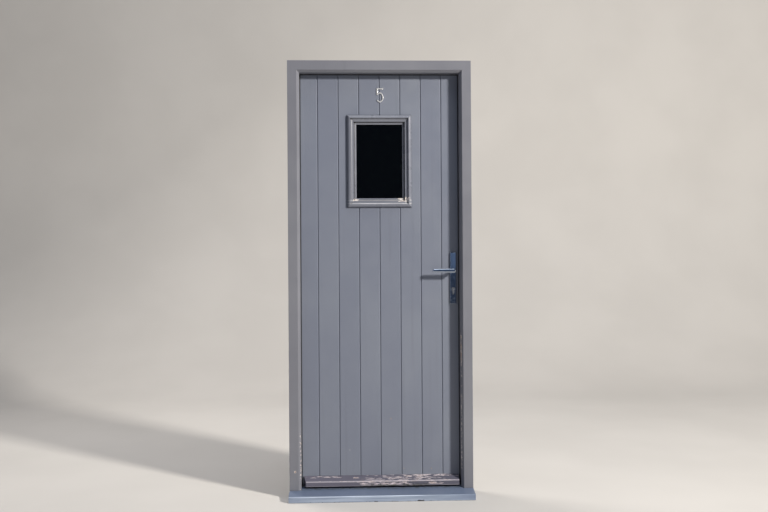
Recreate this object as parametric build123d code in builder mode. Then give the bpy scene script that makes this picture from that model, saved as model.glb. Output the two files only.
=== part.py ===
from build123d import *
import os
from math import cos, radians, sin, tan

# Boarded front door with a small glazed light, hung in its timber frame and opening inwards.
# X runs across the doorway, to the right as seen from the street. Y runs into the house, from
# the frame's outer face. Z is up, from the underside of the sill. All sizes are in millimetres.

# Leaf
LEAF_WIDTH = 813.0
LEAF_HEIGHT = 2032.0
BOARD_COUNT = 8
BOARD_THICKNESS = 12.0
GROOVE_SIZE = 3.5
TONGUE_LENGTH = 5.0
TONGUE_THICKNESS = 4.0
TONGUE_CLEARANCE = 0.1
BOARD_GAP = 0.2
MITRE_GAP = 0.05
LEAF_ARRIS = 1.5
CORE_THICKNESS = 32.0
STILE_WIDTH = 100.0
TOP_RAIL_WIDTH = 100.0
MIDDLE_RAIL_WIDTH = 150.0
MIDDLE_RAIL_HEIGHT = 1050.0
BOTTOM_RAIL_WIDTH = 200.0
TENON_LENGTH = 40.0
TENON_THICKNESS = 12.0
TENON_SHOULDER = 20.0

# Frame
FRAME_FACE = 57.0
STOP_DEPTH = 55.0
LEAF_COVER = 15.0
HEAD_COVER = 11.0
SIDE_GAP = 4.0
SEAL_GAP = 4.0
FRAME_CHAMFER = 12.0
SEAL_CLEARANCE = 0.3
SEAL_WIDTH = 12.0
SEAL_LIP = 4.0

# Sill and threshold
SILL_PROJECTION = 86.0
SILL_NOSE = 29.0
SILL_SLOPE = 6.0
SILL_ARRIS = 3.0
DRIP_SETBACK = 18.0
DRIP_RADIUS = 3.0
BAR_HEIGHT = 4.0
BAR_WIDTH = 40.0
BAR_SETBACK = 2.0
BAR_ARRIS = 1.5
STRIP_WIDTH = 8.0
LEAF_BOTTOM_GAP = 4.0

# Weatherboard
WEATHERBOARD_HEIGHT = 43.0
WEATHERBOARD_NOSE = 24.0
WEATHERBOARD_PROJECTION = 45.0
WEATHERBOARD_NOSE_RADIUS = 3.0
WEATHERBOARD_END_GAP = 10.0
WEATHERBOARD_SPLAY = 12.0
THROAT_RADIUS = 3.0
THROAT_SETBACK = 11.0

# Glazed light
LIGHT_DROP = 440.0
SIGHT_WIDTH = 227.0
SIGHT_HEIGHT = 365.0
GLASS_CLEARANCE = 4.0
PANE_THICKNESS = 4.0
SPACER_THICKNESS = 16.0
SPACER_WIDTH = 7.0
LINING_THICKNESS = 25.0
GLASS_SETBACK = 15.0
BEAD_WIDTH = 45.5
BEAD_PROJECTION = 16.0
BEAD_ROUND = 13.0
BEAD_CREST = 3.0
BEAD_FILLET = 3.0
BEAD_COVE_END = 13.0
BEAD_COVE_DEPTH = 9.0
BEAD_COVE_SAG = 2.5
BEAD_STEP = 9.0
BEAD_STEP_RUN = 2.0
BEAD_EDGE_HEIGHT = 10.0
INNER_BEAD_PROJECTION = 3.0
INNER_BEAD_EDGE_HEIGHT = 6.0

# House number
NUMBER_DROP = 114.0
NUMBER_OFFSET = 4.0
DIGIT_HEIGHT = 70.0
DIGIT_WIDTH = 35.0
DIGIT_BOWL = 49.0
DIGIT_STROKE = 5.5
DIGIT_STEM_INSET = 1.5
DIGIT_TERMINAL = 12.0
DIGIT_FLARE = 2.0
DIGIT_THICKNESS = 3.5

# Hinges
HINGE_HEIGHT = 100.0
HINGE_COUNT = 3
HINGE_FOOT = 250.0
HINGE_DROP = 175.0
HINGE_PLATE = 2.0
HINGE_PLATE_WIDTH = 30.0
HINGE_PIVOT_OUT = 6.5
KNUCKLE_COUNT = 5
KNUCKLE_RADIUS = 6.0
KNUCKLE_CLEARANCE = 0.4
KNUCKLE_END_GAP = 0.15
PIN_RADIUS = 4.0
PIN_CLEARANCE = 0.05
PIN_HEAD_RADIUS = 5.5
PIN_HEAD_HEIGHT = 3.0
HINGE_SCREW_HEAD = 4.0
HINGE_SCREW_SHANK = 2.0
HINGE_SCREW_LENGTH = 28.0
HINGE_SCREW_INSET = 12.0
HINGE_SCREW_SPACING = 34.0

# Lock and furniture
BACKSET = 45.0
SPINDLE_HEIGHT = 1050.0
CYLINDER_DROP = 92.0
FACEPLATE_THICKNESS = 3.0
FACEPLATE_WIDTH = 22.0
FACEPLATE_ABOVE = 75.0
FACEPLATE_BELOW = 140.0
CASE_DEPTH = 85.0
CASE_THICKNESS = 15.0
CASE_WALL = 1.5
CASE_ABOVE = 60.0
CASE_BELOW = 125.0
CASE_CLEARANCE = 0.5
LATCH_RISE = 28.0
LATCH_HEIGHT = 30.0
LATCH_LENGTH = 30.0
LATCH_TRAVEL = 12.0
LATCH_LAND = 3.0
LATCH_TAIL = 25.0
LATCH_TAIL_HEIGHT = 16.0
LATCH_TAIL_THICKNESS = 6.0
BOLT_DROP = 54.0
BOLT_HEIGHT = 34.0
BOLT_LENGTH = 60.0
BOLT_TRAVEL = 20.0
BOLT_CLEARANCE = 0.2
KEEP_THICKNESS = 3.0
KEEP_WIDTH = 22.0
KEEP_MARGIN = 24.0
KEEP_HOLE_CLEARANCE = 1.0
KEEP_POCKET_CLEARANCE = 2.5
LOCK_SCREW_HEAD = 3.8
LOCK_SCREW_SHANK = 1.9
LOCK_SCREW_LENGTH = 26.0
LOCK_SCREW_INSET = 8.0
PLATE_WIDTH = 30.0
PLATE_HEIGHT = 254.0
PLATE_ABOVE = 90.0
PLATE_THICKNESS = 9.0
PLATE_CORNER = 4.0
PLATE_BEVEL = 2.0
PLATE_BOLT_ABOVE = 73.0
PLATE_BOLT_BELOW = 142.0
PLATE_BOLT_RADIUS = 2.5
PLATE_BOLT_HEAD = 4.5
PLATE_BOLT_CLEARANCE = 0.4
PLATE_BOLT_THREAD = 5.0
LEVER_LENGTH = 106.0
LEVER_NECK_RADIUS = 9.0
LEVER_NECK_CLEARANCE = 0.2
LEVER_SEAT = 7.0
LEVER_STANDOFF = 57.0
LEVER_GRIP = 11.0
LEVER_ROOT_HEIGHT = 20.0
LEVER_TIP_HEIGHT = 17.0
LEVER_TIP_CORNER = 6.5
LEVER_ROUND = 5.5
SPINDLE_SIZE = 8.0
SPINDLE_CLEARANCE = 0.05
SPINDLE_DEPTH = 20.0
FOLLOWER_RADIUS = 11.0
FOLLOWER_NECK_RADIUS = 7.9
FOLLOWER_NOSE = 15.0
FOLLOWER_NOSE_HEIGHT = 8.0
FOLLOWER_CLEARANCE = 0.1
CYLINDER_RADIUS = 8.5
CYLINDER_HEIGHT = 33.0
CYLINDER_LOBE = 10.0
CYLINDER_PROUD = 3.0
CYLINDER_CLEARANCE = 0.25
PLUG_RADIUS = 6.5
PLUG_CLEARANCE = 0.05
CAM_RADIUS = 15.0
CAM_WIDTH = 8.0
CAM_THICKNESS = 9.4
CAM_GAP = 10.0
CAM_CLEARANCE = 0.5
KEYWAY_WIDTH = 2.4
KEYWAY_HEIGHT = 8.0
KEYWAY_DEPTH = 22.0
CYLINDER_SCREW_RADIUS = 2.5
CYLINDER_SCREW_HEAD = 4.2

# Wall fixings through the jambs
FIXING_RADIUS = 4.25
FIXING_BORE_RADIUS = 8.0
FIXING_BORE_DEPTH = 10.0
FIXING_FIRST = 175.0
FIXING_SPACING = 550.0
FIXING_COUNT = 4

# Places worked out from the sizes above
LEAF_FRONT = STOP_DEPTH + SEAL_GAP
CORE_FRONT = LEAF_FRONT + BOARD_THICKNESS
CORE_BACK = CORE_FRONT + CORE_THICKNESS
LEAF_BACK = CORE_BACK + BOARD_THICKNESS
LEAF_MIDDLE = (LEAF_FRONT + LEAF_BACK) / 2
FRAME_DEPTH = LEAF_BACK
LEAF_EDGE = LEAF_WIDTH / 2
BOARD_PITCH = LEAF_WIDTH / BOARD_COUNT
REBATE_X = LEAF_EDGE + SIDE_GAP
STOP_X = LEAF_EDGE - LEAF_COVER
FRAME_X = STOP_X + FRAME_FACE
SILL_TOP = SILL_NOSE + (SILL_PROJECTION + STOP_DEPTH) * tan(radians(SILL_SLOPE))
LEAF_BOTTOM = SILL_TOP + BAR_HEIGHT + LEAF_BOTTOM_GAP
LEAF_TOP = LEAF_BOTTOM + LEAF_HEIGHT
HEAD_REBATE_Z = LEAF_TOP + SIDE_GAP
HEAD_STOP_Z = LEAF_TOP - HEAD_COVER
FRAME_TOP = HEAD_STOP_Z + FRAME_FACE
STILE_X = LEAF_EDGE - STILE_WIDTH
LIGHT_Z = LEAF_TOP - LIGHT_DROP
SIGHT_X = SIGHT_WIDTH / 2
SIGHT_RISE = SIGHT_HEIGHT / 2
APERTURE_MARGIN = BEAD_COVE_END + BEAD_STEP_RUN
GLASS_MARGIN = APERTURE_MARGIN - GLASS_CLEARANCE
APERTURE_X = SIGHT_X + APERTURE_MARGIN
APERTURE_BOTTOM = LIGHT_Z - SIGHT_RISE - APERTURE_MARGIN
APERTURE_TOP = LIGHT_Z + SIGHT_RISE + APERTURE_MARGIN
GLASS_FRONT = LEAF_FRONT + GLASS_SETBACK
GLASS_BACK = GLASS_FRONT + 2 * PANE_THICKNESS + SPACER_THICKNESS
PIVOT_X = -(LEAF_EDGE + SIDE_GAP / 2)
PIVOT_Y = LEAF_BACK + HINGE_PIVOT_OUT
KNUCKLE_LENGTH = HINGE_HEIGHT / KNUCKLE_COUNT
HINGE_SPACING = (LEAF_HEIGHT - HINGE_FOOT - HINGE_DROP) / (HINGE_COUNT - 1)
HINGE_MIDDLES = [LEAF_BOTTOM + HINGE_FOOT + index * HINGE_SPACING for index in range(HINGE_COUNT)]
SPINDLE_X = LEAF_EDGE - BACKSET
SPINDLE_Z = LEAF_BOTTOM + SPINDLE_HEIGHT
CYLINDER_Z = SPINDLE_Z - CYLINDER_DROP
LATCH_Z = SPINDLE_Z + LATCH_RISE
BOLT_Z = SPINDLE_Z - BOLT_DROP
CASE_FRONT = LEAF_EDGE - FACEPLATE_THICKNESS
CASE_BACK = CASE_FRONT - CASE_DEPTH
CASE_INNER = CASE_THICKNESS / 2 - CASE_WALL
PLATE_FRONT = LEAF_FRONT - PLATE_THICKNESS
CYLINDER_FRONT = PLATE_FRONT - CYLINDER_PROUD
LOBE_DROP = CYLINDER_HEIGHT - CYLINDER_RADIUS
CYLINDER_SCREW_Z = CYLINDER_Z - (CAM_RADIUS + LOBE_DROP) / 2
GRIP_FRONT = LEAF_FRONT - LEVER_STANDOFF

os.makedirs("parts", exist_ok=True)


def save(piece, name):
    """Label a finished piece and write its file."""
    piece.part.label = name
    export_step(piece.part, f"parts/{name}.step")


def block(x, y, z, mode=Mode.ADD):
    """A box between two values on each axis, in the part being built."""
    with Locations(((x[0] + x[1]) / 2, (y[0] + y[1]) / 2, (z[0] + z[1]) / 2)):
        Box(abs(x[1] - x[0]), abs(y[1] - y[0]), abs(z[1] - z[0]), mode=mode)


def rod(centre, direction, radius, length, mode=Mode.ADD):
    """A round rod centred on a point, along a direction, in the part being built."""
    with Locations(Plane(origin=centre, z_dir=direction)):
        Cylinder(radius, length, mode=mode)


def build_screw(head_radius, shank_radius, length):
    """A countersunk screw with its head's face at the origin, pointing down."""
    head_depth = head_radius - shank_radius
    with BuildPart() as screw:
        with BuildSketch(Plane.XZ):
            with BuildLine():
                Polyline(
                    (0, 0),
                    (head_radius, 0),
                    (shank_radius, -head_depth),
                    (shank_radius, -length),
                    (0, -length),
                    close=True,
                )
            make_face()
        revolve(axis=Axis.Z)
    return screw.part


def screw_set(screw, places):
    """The same screw at several places, each an origin and the way its head faces."""
    with BuildPart() as screws:
        for origin, outward in places:
            add(screw.moved(Plane(origin=origin, z_dir=outward).location))
    return screws


def mitred_side(profile, outward, corner, half_length):
    """One side of a mitred rectangle about the light, cut from a profile of outward and Y."""
    along = Vector(*outward).cross(Vector(0, 1, 0))
    plane = Plane(origin=corner, x_dir=outward, z_dir=along)
    with BuildPart() as side:
        with BuildSketch(plane):
            add(profile)
        extrude(amount=2 * half_length, both=True)
        for end in (-1, 1):
            point = Vector(*corner) + along * (end * (half_length - MITRE_GAP))
            split(bisect_by=Plane(origin=point, z_dir=along * end - Vector(*outward)), keep=Keep.BOTTOM)
    return side


def mitred_frame(profile):
    """The four sides of a mitred rectangle round the light's sight line."""
    left = mitred_side(profile, (-1, 0, 0), (-SIGHT_X, 0, LIGHT_Z), SIGHT_RISE)
    right = mitred_side(profile, (1, 0, 0), (SIGHT_X, 0, LIGHT_Z), SIGHT_RISE)
    top = mitred_side(profile, (0, 0, 1), (0, 0, LIGHT_Z + SIGHT_RISE), SIGHT_X)
    bottom = mitred_side(profile, (0, 0, -1), (0, 0, LIGHT_Z - SIGHT_RISE), SIGHT_X)
    return {"left": left, "right": right, "top": top, "bottom": bottom}


def group(pieces):
    """Several separate solids as one node."""
    with BuildPart() as node:
        for piece in pieces:
            add(piece.part)
    return node


# Screws of the hinges, the faceplate and the keep

hinge_screw = build_screw(HINGE_SCREW_HEAD, HINGE_SCREW_SHANK, HINGE_SCREW_LENGTH)
lock_screw = build_screw(LOCK_SCREW_HEAD, LOCK_SCREW_SHANK, LOCK_SCREW_LENGTH)
hinge_screw_y = LEAF_BACK - HINGE_PLATE_WIDTH + HINGE_SCREW_INSET
hinge_screw_heights = [middle + step * HINGE_SCREW_SPACING for middle in HINGE_MIDDLES for step in (-1, 0, 1)]
hinge_frame_screws = screw_set(
    hinge_screw, [((-REBATE_X, hinge_screw_y, z), (1, 0, 0)) for z in hinge_screw_heights]
)
hinge_leaf_screws = screw_set(
    hinge_screw, [((-LEAF_EDGE, hinge_screw_y, z), (-1, 0, 0)) for z in hinge_screw_heights]
)
faceplate_span = (SPINDLE_Z - FACEPLATE_BELOW, SPINDLE_Z + FACEPLATE_ABOVE)
keep_span = (BOLT_Z - BOLT_HEIGHT / 2 - KEEP_MARGIN, LATCH_Z + LATCH_HEIGHT / 2 + KEEP_MARGIN)
faceplate_screws = screw_set(
    lock_screw,
    [
        ((LEAF_EDGE, LEAF_MIDDLE, faceplate_span[0] + LOCK_SCREW_INSET), (1, 0, 0)),
        ((LEAF_EDGE, LEAF_MIDDLE, faceplate_span[1] - LOCK_SCREW_INSET / 2), (1, 0, 0)),
    ],
)
keep_screws = screw_set(
    lock_screw,
    [
        ((REBATE_X, LEAF_MIDDLE, keep_span[0] + LOCK_SCREW_INSET), (-1, 0, 0)),
        ((REBATE_X, LEAF_MIDDLE, keep_span[1] - LOCK_SCREW_INSET), (-1, 0, 0)),
    ],
)
save(hinge_frame_screws, "hinge_frame_screws")
save(hinge_leaf_screws, "hinge_leaf_screws")
save(faceplate_screws, "faceplate_screws")
save(keep_screws, "keep_screws")

# Sill, sloped to the street, with a throat under its nose

with BuildPart() as sill:
    with BuildSketch(Plane.YZ.offset(-FRAME_X)) as sill_section:
        with BuildLine():
            Polyline(
                (-SILL_PROJECTION, 0),
                (FRAME_DEPTH, 0),
                (FRAME_DEPTH, SILL_TOP),
                (STOP_DEPTH, SILL_TOP),
                (-SILL_PROJECTION, SILL_NOSE),
                close=True,
            )
        make_face()
        fillet(sill_section.vertices().group_by(Axis.X)[0], SILL_ARRIS)
        with Locations((DRIP_SETBACK - SILL_PROJECTION, 0)):
            Circle(DRIP_RADIUS, mode=Mode.SUBTRACT)
    extrude(amount=2 * FRAME_X)
save(sill, "sill")

# Threshold bar under the leaf

bar_front = LEAF_FRONT + BAR_SETBACK
with BuildPart() as threshold_bar:
    block((-REBATE_X, REBATE_X), (bar_front, bar_front + BAR_WIDTH), (SILL_TOP, SILL_TOP + BAR_HEIGHT))
    chamfer(threshold_bar.edges().filter_by(Axis.X).group_by(Axis.Z)[-1], BAR_ARRIS)
save(threshold_bar, "threshold_bar")


# Jambs and head, one section with a stop, a rebate and a chamfered arris, mitred at the corners


def frame_section(side, inner, rebate, outer):
    """The outline of a frame member across its width, on one side of the doorway."""
    with BuildLine() as outline:
        Polyline(
            (side * (inner + FRAME_CHAMFER), 0),
            (side * outer, 0),
            (side * outer, FRAME_DEPTH),
            (side * rebate, FRAME_DEPTH),
            (side * rebate, STOP_DEPTH),
            (side * inner, STOP_DEPTH),
            (side * inner, FRAME_CHAMFER),
            close=True,
        )
    return outline.line


def mitre_plane(side):
    """The plane of the mitre at one top corner, facing away from the head."""
    return Plane(origin=(side * STOP_X, 0, HEAD_STOP_Z), z_dir=(side, 0, -1))


def build_jamb(side):
    """A jamb scribed to the sill, with its wall fixing holes. side is -1 at the hinges."""
    with BuildPart() as jamb:
        with BuildSketch():
            with BuildLine():
                add(frame_section(side, STOP_X, REBATE_X, FRAME_X))
            make_face()
        extrude(amount=FRAME_TOP)
        split(bisect_by=mitre_plane(side), keep=Keep.TOP)
        add(sill.part, mode=Mode.SUBTRACT)
        for index in range(FIXING_COUNT):
            height = FIXING_FIRST + index * FIXING_SPACING
            with Locations(Plane(origin=(side * REBATE_X, LEAF_MIDDLE, height), z_dir=(-side, 0, 0))):
                CounterBoreHole(FIXING_RADIUS, FIXING_BORE_RADIUS, FIXING_BORE_DEPTH)
    return jamb


hinge_jamb = build_jamb(-1)
with hinge_jamb:
    for middle in HINGE_MIDDLES:
        block(
            (-REBATE_X - HINGE_PLATE, -REBATE_X),
            (LEAF_BACK - HINGE_PLATE_WIDTH, LEAF_BACK),
            (middle - HINGE_HEIGHT / 2, middle + HINGE_HEIGHT / 2),
            Mode.SUBTRACT,
        )
    add(hinge_frame_screws.part, mode=Mode.SUBTRACT)
save(hinge_jamb, "hinge_jamb")

keep_y = (LEAF_MIDDLE - KEEP_WIDTH / 2, LEAF_MIDDLE + KEEP_WIDTH / 2)
keep_hole_y = CASE_INNER + KEEP_HOLE_CLEARANCE
keep_holes = [
    (LATCH_Z, LATCH_HEIGHT / 2 + KEEP_HOLE_CLEARANCE, LATCH_TRAVEL),
    (BOLT_Z, BOLT_HEIGHT / 2 + KEEP_HOLE_CLEARANCE, BOLT_TRAVEL),
]
lock_jamb = build_jamb(1)
with lock_jamb:
    block((REBATE_X, REBATE_X + KEEP_THICKNESS), keep_y, keep_span, Mode.SUBTRACT)
    for height, half, travel in keep_holes:
        block(
            (REBATE_X, LEAF_EDGE + travel + KEEP_POCKET_CLEARANCE),
            (LEAF_MIDDLE - keep_hole_y, LEAF_MIDDLE + keep_hole_y),
            (height - half, height + half),
            Mode.SUBTRACT,
        )
    add(keep_screws.part, mode=Mode.SUBTRACT)
save(lock_jamb, "lock_jamb")

with BuildPart() as head:
    with BuildSketch(Plane.YZ.offset(-FRAME_X)):
        with BuildLine():
            Polyline(
                (0, HEAD_STOP_Z + FRAME_CHAMFER),
                (0, FRAME_TOP),
                (FRAME_DEPTH, FRAME_TOP),
                (FRAME_DEPTH, HEAD_REBATE_Z),
                (STOP_DEPTH, HEAD_REBATE_Z),
                (STOP_DEPTH, HEAD_STOP_Z),
                (FRAME_CHAMFER, HEAD_STOP_Z),
                close=True,
            )
        make_face()
    extrude(amount=2 * FRAME_X)
    split(bisect_by=mitre_plane(-1), keep=Keep.BOTTOM)
    split(bisect_by=mitre_plane(1), keep=Keep.BOTTOM)
save(head, "head")

# Weather seal behind the stops, with a lip that shows inside them, and a strip on the threshold bar

seal_x = STOP_X - SEAL_LIP
seal_y = (STOP_DEPTH, LEAF_FRONT - SEAL_CLEARANCE)
seal_top = HEAD_STOP_Z - SEAL_LIP
strip_y = bar_front + BAR_WIDTH / 2
with BuildPart() as frame_seal:
    block((-seal_x - SEAL_WIDTH, seal_x + SEAL_WIDTH), seal_y, (SILL_TOP, seal_top + SEAL_WIDTH))
    block((-seal_x, seal_x), seal_y, (SILL_TOP, seal_top), Mode.SUBTRACT)
    block(
        (-REBATE_X, REBATE_X),
        (strip_y - STRIP_WIDTH / 2, strip_y + STRIP_WIDTH / 2),
        (SILL_TOP + BAR_HEIGHT, LEAF_BOTTOM - SEAL_CLEARANCE),
    )
save(frame_seal, "frame_seal")

with BuildPart() as keep_plate:
    block((REBATE_X, REBATE_X + KEEP_THICKNESS), keep_y, keep_span)
    for height, half, travel in keep_holes:
        block(
            (REBATE_X, REBATE_X + KEEP_THICKNESS),
            (LEAF_MIDDLE - keep_hole_y, LEAF_MIDDLE + keep_hole_y),
            (height - half, height + half),
            Mode.SUBTRACT,
        )
    add(keep_screws.part, mode=Mode.SUBTRACT)
save(keep_plate, "keep_plate")


# Hinges, three butt hinges whose knuckles stand clear of the leaf's inner face


def build_hinge_plate(middle, face, screws, own, other):
    """One plate of a hinge with its own knuckles, notched round the other plate's."""
    bottom = middle - HINGE_HEIGHT / 2
    with BuildPart() as plate:
        block(face, (LEAF_BACK - HINGE_PLATE_WIDTH, PIVOT_Y), (bottom, bottom + HINGE_HEIGHT))
        for index in other:
            centre = (PIVOT_X, PIVOT_Y, bottom + (index + 0.5) * KNUCKLE_LENGTH)
            rod(centre, (0, 0, 1), KNUCKLE_RADIUS + KNUCKLE_CLEARANCE, KNUCKLE_LENGTH, Mode.SUBTRACT)
        for index in own:
            centre = (PIVOT_X, PIVOT_Y, bottom + (index + 0.5) * KNUCKLE_LENGTH)
            rod(centre, (0, 0, 1), KNUCKLE_RADIUS, KNUCKLE_LENGTH - 2 * KNUCKLE_END_GAP)
        bore = PIN_RADIUS + PIN_CLEARANCE
        rod((PIVOT_X, PIVOT_Y, middle), (0, 0, 1), bore, HINGE_HEIGHT, Mode.SUBTRACT)
        add(screws.part, mode=Mode.SUBTRACT)
    return plate


frame_knuckles = range(0, KNUCKLE_COUNT, 2)
leaf_knuckles = range(1, KNUCKLE_COUNT, 2)
frame_face = (-REBATE_X - HINGE_PLATE, -REBATE_X)
leaf_face = (-LEAF_EDGE, -LEAF_EDGE + HINGE_PLATE)
for number, middle in enumerate(HINGE_MIDDLES, start=1):
    frame_plate = build_hinge_plate(middle, frame_face, hinge_frame_screws, frame_knuckles, leaf_knuckles)
    leaf_plate = build_hinge_plate(middle, leaf_face, hinge_leaf_screws, leaf_knuckles, frame_knuckles)
    save(frame_plate, f"hinge_frame_plate_{number}")
    save(leaf_plate, f"hinge_leaf_plate_{number}")

with BuildPart() as hinge_pins:
    for middle in HINGE_MIDDLES:
        rod((PIVOT_X, PIVOT_Y, middle), (0, 0, 1), PIN_RADIUS, HINGE_HEIGHT)
        for end in (-1, 1):
            head_z = middle + end * (HINGE_HEIGHT + PIN_HEAD_HEIGHT) / 2
            rod((PIVOT_X, PIVOT_Y, head_z), (0, 0, 1), PIN_HEAD_RADIUS, PIN_HEAD_HEIGHT)
save(hinge_pins, "hinge_pins")


# Through holes of the lock furniture, and the aperture of the light


def cylinder_profile(clearance):
    """The outline of the lock cylinder, with its round above and its lobe below."""
    with BuildSketch() as profile:
        Circle(CYLINDER_RADIUS + clearance)
        half = CYLINDER_LOBE / 2 + clearance
        drop = LOBE_DROP + clearance
        with Locations((0, (half - drop) / 2)):
            Rectangle(2 * half, drop - half)
        with Locations((0, half - drop)):
            Circle(half)
    return profile.sketch


def cylinder_prism(clearance, front, back):
    """The cylinder's outline carried through the leaf between two values of Y."""
    plane = Plane(origin=(SPINDLE_X, front, CYLINDER_Z), x_dir=(-1, 0, 0), z_dir=(0, 1, 0))
    with BuildPart() as prism:
        with BuildSketch(plane):
            add(cylinder_profile(clearance))
        extrude(amount=back - front)
    return prism.part


through = FRAME_DEPTH + LEVER_STANDOFF
cylinder_hole = cylinder_prism(CYLINDER_CLEARANCE, -through, 2 * through)
bolt_heights = (SPINDLE_Z + PLATE_BOLT_ABOVE, SPINDLE_Z - PLATE_BOLT_BELOW)
with BuildPart() as furniture_holes:
    add(cylinder_hole)
    spindle_hole = FOLLOWER_NECK_RADIUS + FOLLOWER_CLEARANCE
    rod((SPINDLE_X, LEAF_MIDDLE, SPINDLE_Z), (0, 1, 0), spindle_hole, LEAF_BACK - LEAF_FRONT)
    for height in bolt_heights:
        bolt_hole = PLATE_BOLT_RADIUS + PLATE_BOLT_CLEARANCE
        rod((SPINDLE_X, LEAF_MIDDLE, height), (0, 1, 0), bolt_hole, LEAF_BACK - LEAF_FRONT)
with BuildPart() as aperture:
    block((-APERTURE_X, APERTURE_X), (LEAF_FRONT, LEAF_BACK), (APERTURE_BOTTOM, APERTURE_TOP))

# Outer boards, tongued and grooved, with a V at each joint and the light cut through the middle


def board_outline(index, front, back):
    """The section of one board between two faces, its V towards the front face."""
    left = -LEAF_EDGE + index * BOARD_PITCH
    right = left + BOARD_PITCH
    if index < BOARD_COUNT - 1:
        right -= BOARD_GAP
    depth = 1 if back > front else -1
    first, last = index == 0, index == BOARD_COUNT - 1
    left_cut = LEAF_ARRIS if first else GROOVE_SIZE
    right_cut = LEAF_ARRIS if last else GROOVE_SIZE
    middle = (front + back) / 2
    groove = TONGUE_THICKNESS / 2 + TONGUE_CLEARANCE
    tongue = TONGUE_THICKNESS / 2
    points = [(left + left_cut, front), (left, front + depth * left_cut)]
    if not first:
        floor = left + TONGUE_LENGTH + TONGUE_CLEARANCE
        points += [
            (left, middle - depth * groove),
            (floor, middle - depth * groove),
            (floor, middle + depth * groove),
            (left, middle + depth * groove),
        ]
    points += [(left, back), (right, back)]
    if not last:
        tip = right + TONGUE_LENGTH
        points += [
            (right, middle + depth * tongue),
            (tip, middle + depth * tongue),
            (tip, middle - depth * tongue),
            (right, middle - depth * tongue),
        ]
    points += [(right, front + depth * right_cut), (right - right_cut, front)]
    return points


def build_board(index, front, back):
    """One board of the leaf's height, with the light and the furniture holes cut."""
    with BuildPart() as board:
        with BuildSketch(Plane.XY.offset(LEAF_BOTTOM)):
            with BuildLine():
                Polyline(*board_outline(index, front, back), close=True)
            make_face()
        extrude(amount=LEAF_HEIGHT)
        add(aperture.part, mode=Mode.SUBTRACT)
        add(furniture_holes.part, mode=Mode.SUBTRACT)
    return board


for index in range(BOARD_COUNT):
    save(build_board(index, LEAF_FRONT, CORE_FRONT), f"outer_board_{index + 1}")

inner_boards = group([build_board(index, LEAF_BACK, CORE_BACK) for index in range(BOARD_COUNT)])
with inner_boards:
    for middle in HINGE_MIDDLES:
        block(
            (-LEAF_EDGE, -LEAF_EDGE + HINGE_PLATE),
            (CORE_BACK, LEAF_BACK),
            (middle - HINGE_HEIGHT / 2, middle + HINGE_HEIGHT / 2),
            Mode.SUBTRACT,
        )
save(inner_boards, "inner_boards")

# Framed core of the leaf, its rails tenoned into the stiles


def build_rail(bottom, top):
    """A rail between the stiles, with a tenon at each end."""
    with BuildPart() as rail:
        block((-STILE_X, STILE_X), (CORE_FRONT, CORE_BACK), (bottom, top))
        block(
            (-STILE_X - TENON_LENGTH, STILE_X + TENON_LENGTH),
            (LEAF_MIDDLE - TENON_THICKNESS / 2, LEAF_MIDDLE + TENON_THICKNESS / 2),
            (bottom + TENON_SHOULDER, top - TENON_SHOULDER),
        )
    return rail


middle_rail_z = LEAF_BOTTOM + MIDDLE_RAIL_HEIGHT
rail_top = build_rail(LEAF_TOP - TOP_RAIL_WIDTH, LEAF_TOP)
rail_middle = build_rail(middle_rail_z - MIDDLE_RAIL_WIDTH / 2, middle_rail_z + MIDDLE_RAIL_WIDTH / 2)
rail_bottom = build_rail(LEAF_BOTTOM, LEAF_BOTTOM + BOTTOM_RAIL_WIDTH)

with BuildPart() as case_pocket:
    block(
        (CASE_FRONT, LEAF_EDGE),
        (LEAF_MIDDLE - FACEPLATE_WIDTH / 2, LEAF_MIDDLE + FACEPLATE_WIDTH / 2),
        faceplate_span,
    )
    pocket_y = CASE_THICKNESS / 2 + CASE_CLEARANCE
    block(
        (CASE_BACK - CASE_CLEARANCE, CASE_FRONT),
        (LEAF_MIDDLE - pocket_y, LEAF_MIDDLE + pocket_y),
        (SPINDLE_Z - CASE_BELOW - CASE_CLEARANCE, SPINDLE_Z + CASE_ABOVE + CASE_CLEARANCE),
    )
with rail_middle:
    add(case_pocket.part, mode=Mode.SUBTRACT)
save(rail_top, "rail_top")
save(rail_middle, "rail_middle")
save(rail_bottom, "rail_bottom")

with BuildPart() as stile_hinge:
    block((-LEAF_EDGE, -STILE_X), (CORE_FRONT, CORE_BACK), (LEAF_BOTTOM, LEAF_TOP))
    for rail in (rail_top, rail_middle, rail_bottom):
        add(rail.part, mode=Mode.SUBTRACT)
    for middle in HINGE_MIDDLES:
        block(
            (-LEAF_EDGE, -LEAF_EDGE + HINGE_PLATE),
            (LEAF_BACK - HINGE_PLATE_WIDTH, CORE_BACK),
            (middle - HINGE_HEIGHT / 2, middle + HINGE_HEIGHT / 2),
            Mode.SUBTRACT,
        )
    add(hinge_leaf_screws.part, mode=Mode.SUBTRACT)
save(stile_hinge, "stile_hinge")

with BuildPart() as stile_lock:
    block((STILE_X, LEAF_EDGE), (CORE_FRONT, CORE_BACK), (LEAF_BOTTOM, LEAF_TOP))
    for rail in (rail_top, rail_middle, rail_bottom):
        add(rail.part, mode=Mode.SUBTRACT)
    add(case_pocket.part, mode=Mode.SUBTRACT)
    add(furniture_holes.part, mode=Mode.SUBTRACT)
    add(faceplate_screws.part, mode=Mode.SUBTRACT)
save(stile_lock, "stile_lock")

# Lining of the light, and the insulation that fills the rest of the core

with BuildSketch() as lining_section:
    lining_mid = APERTURE_MARGIN + LINING_THICKNESS / 2
    with Locations((lining_mid, LEAF_MIDDLE)):
        Rectangle(LINING_THICKNESS, CORE_THICKNESS)
light_lining = group(mitred_frame(lining_section.sketch).values())
save(light_lining, "light_lining")

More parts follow.
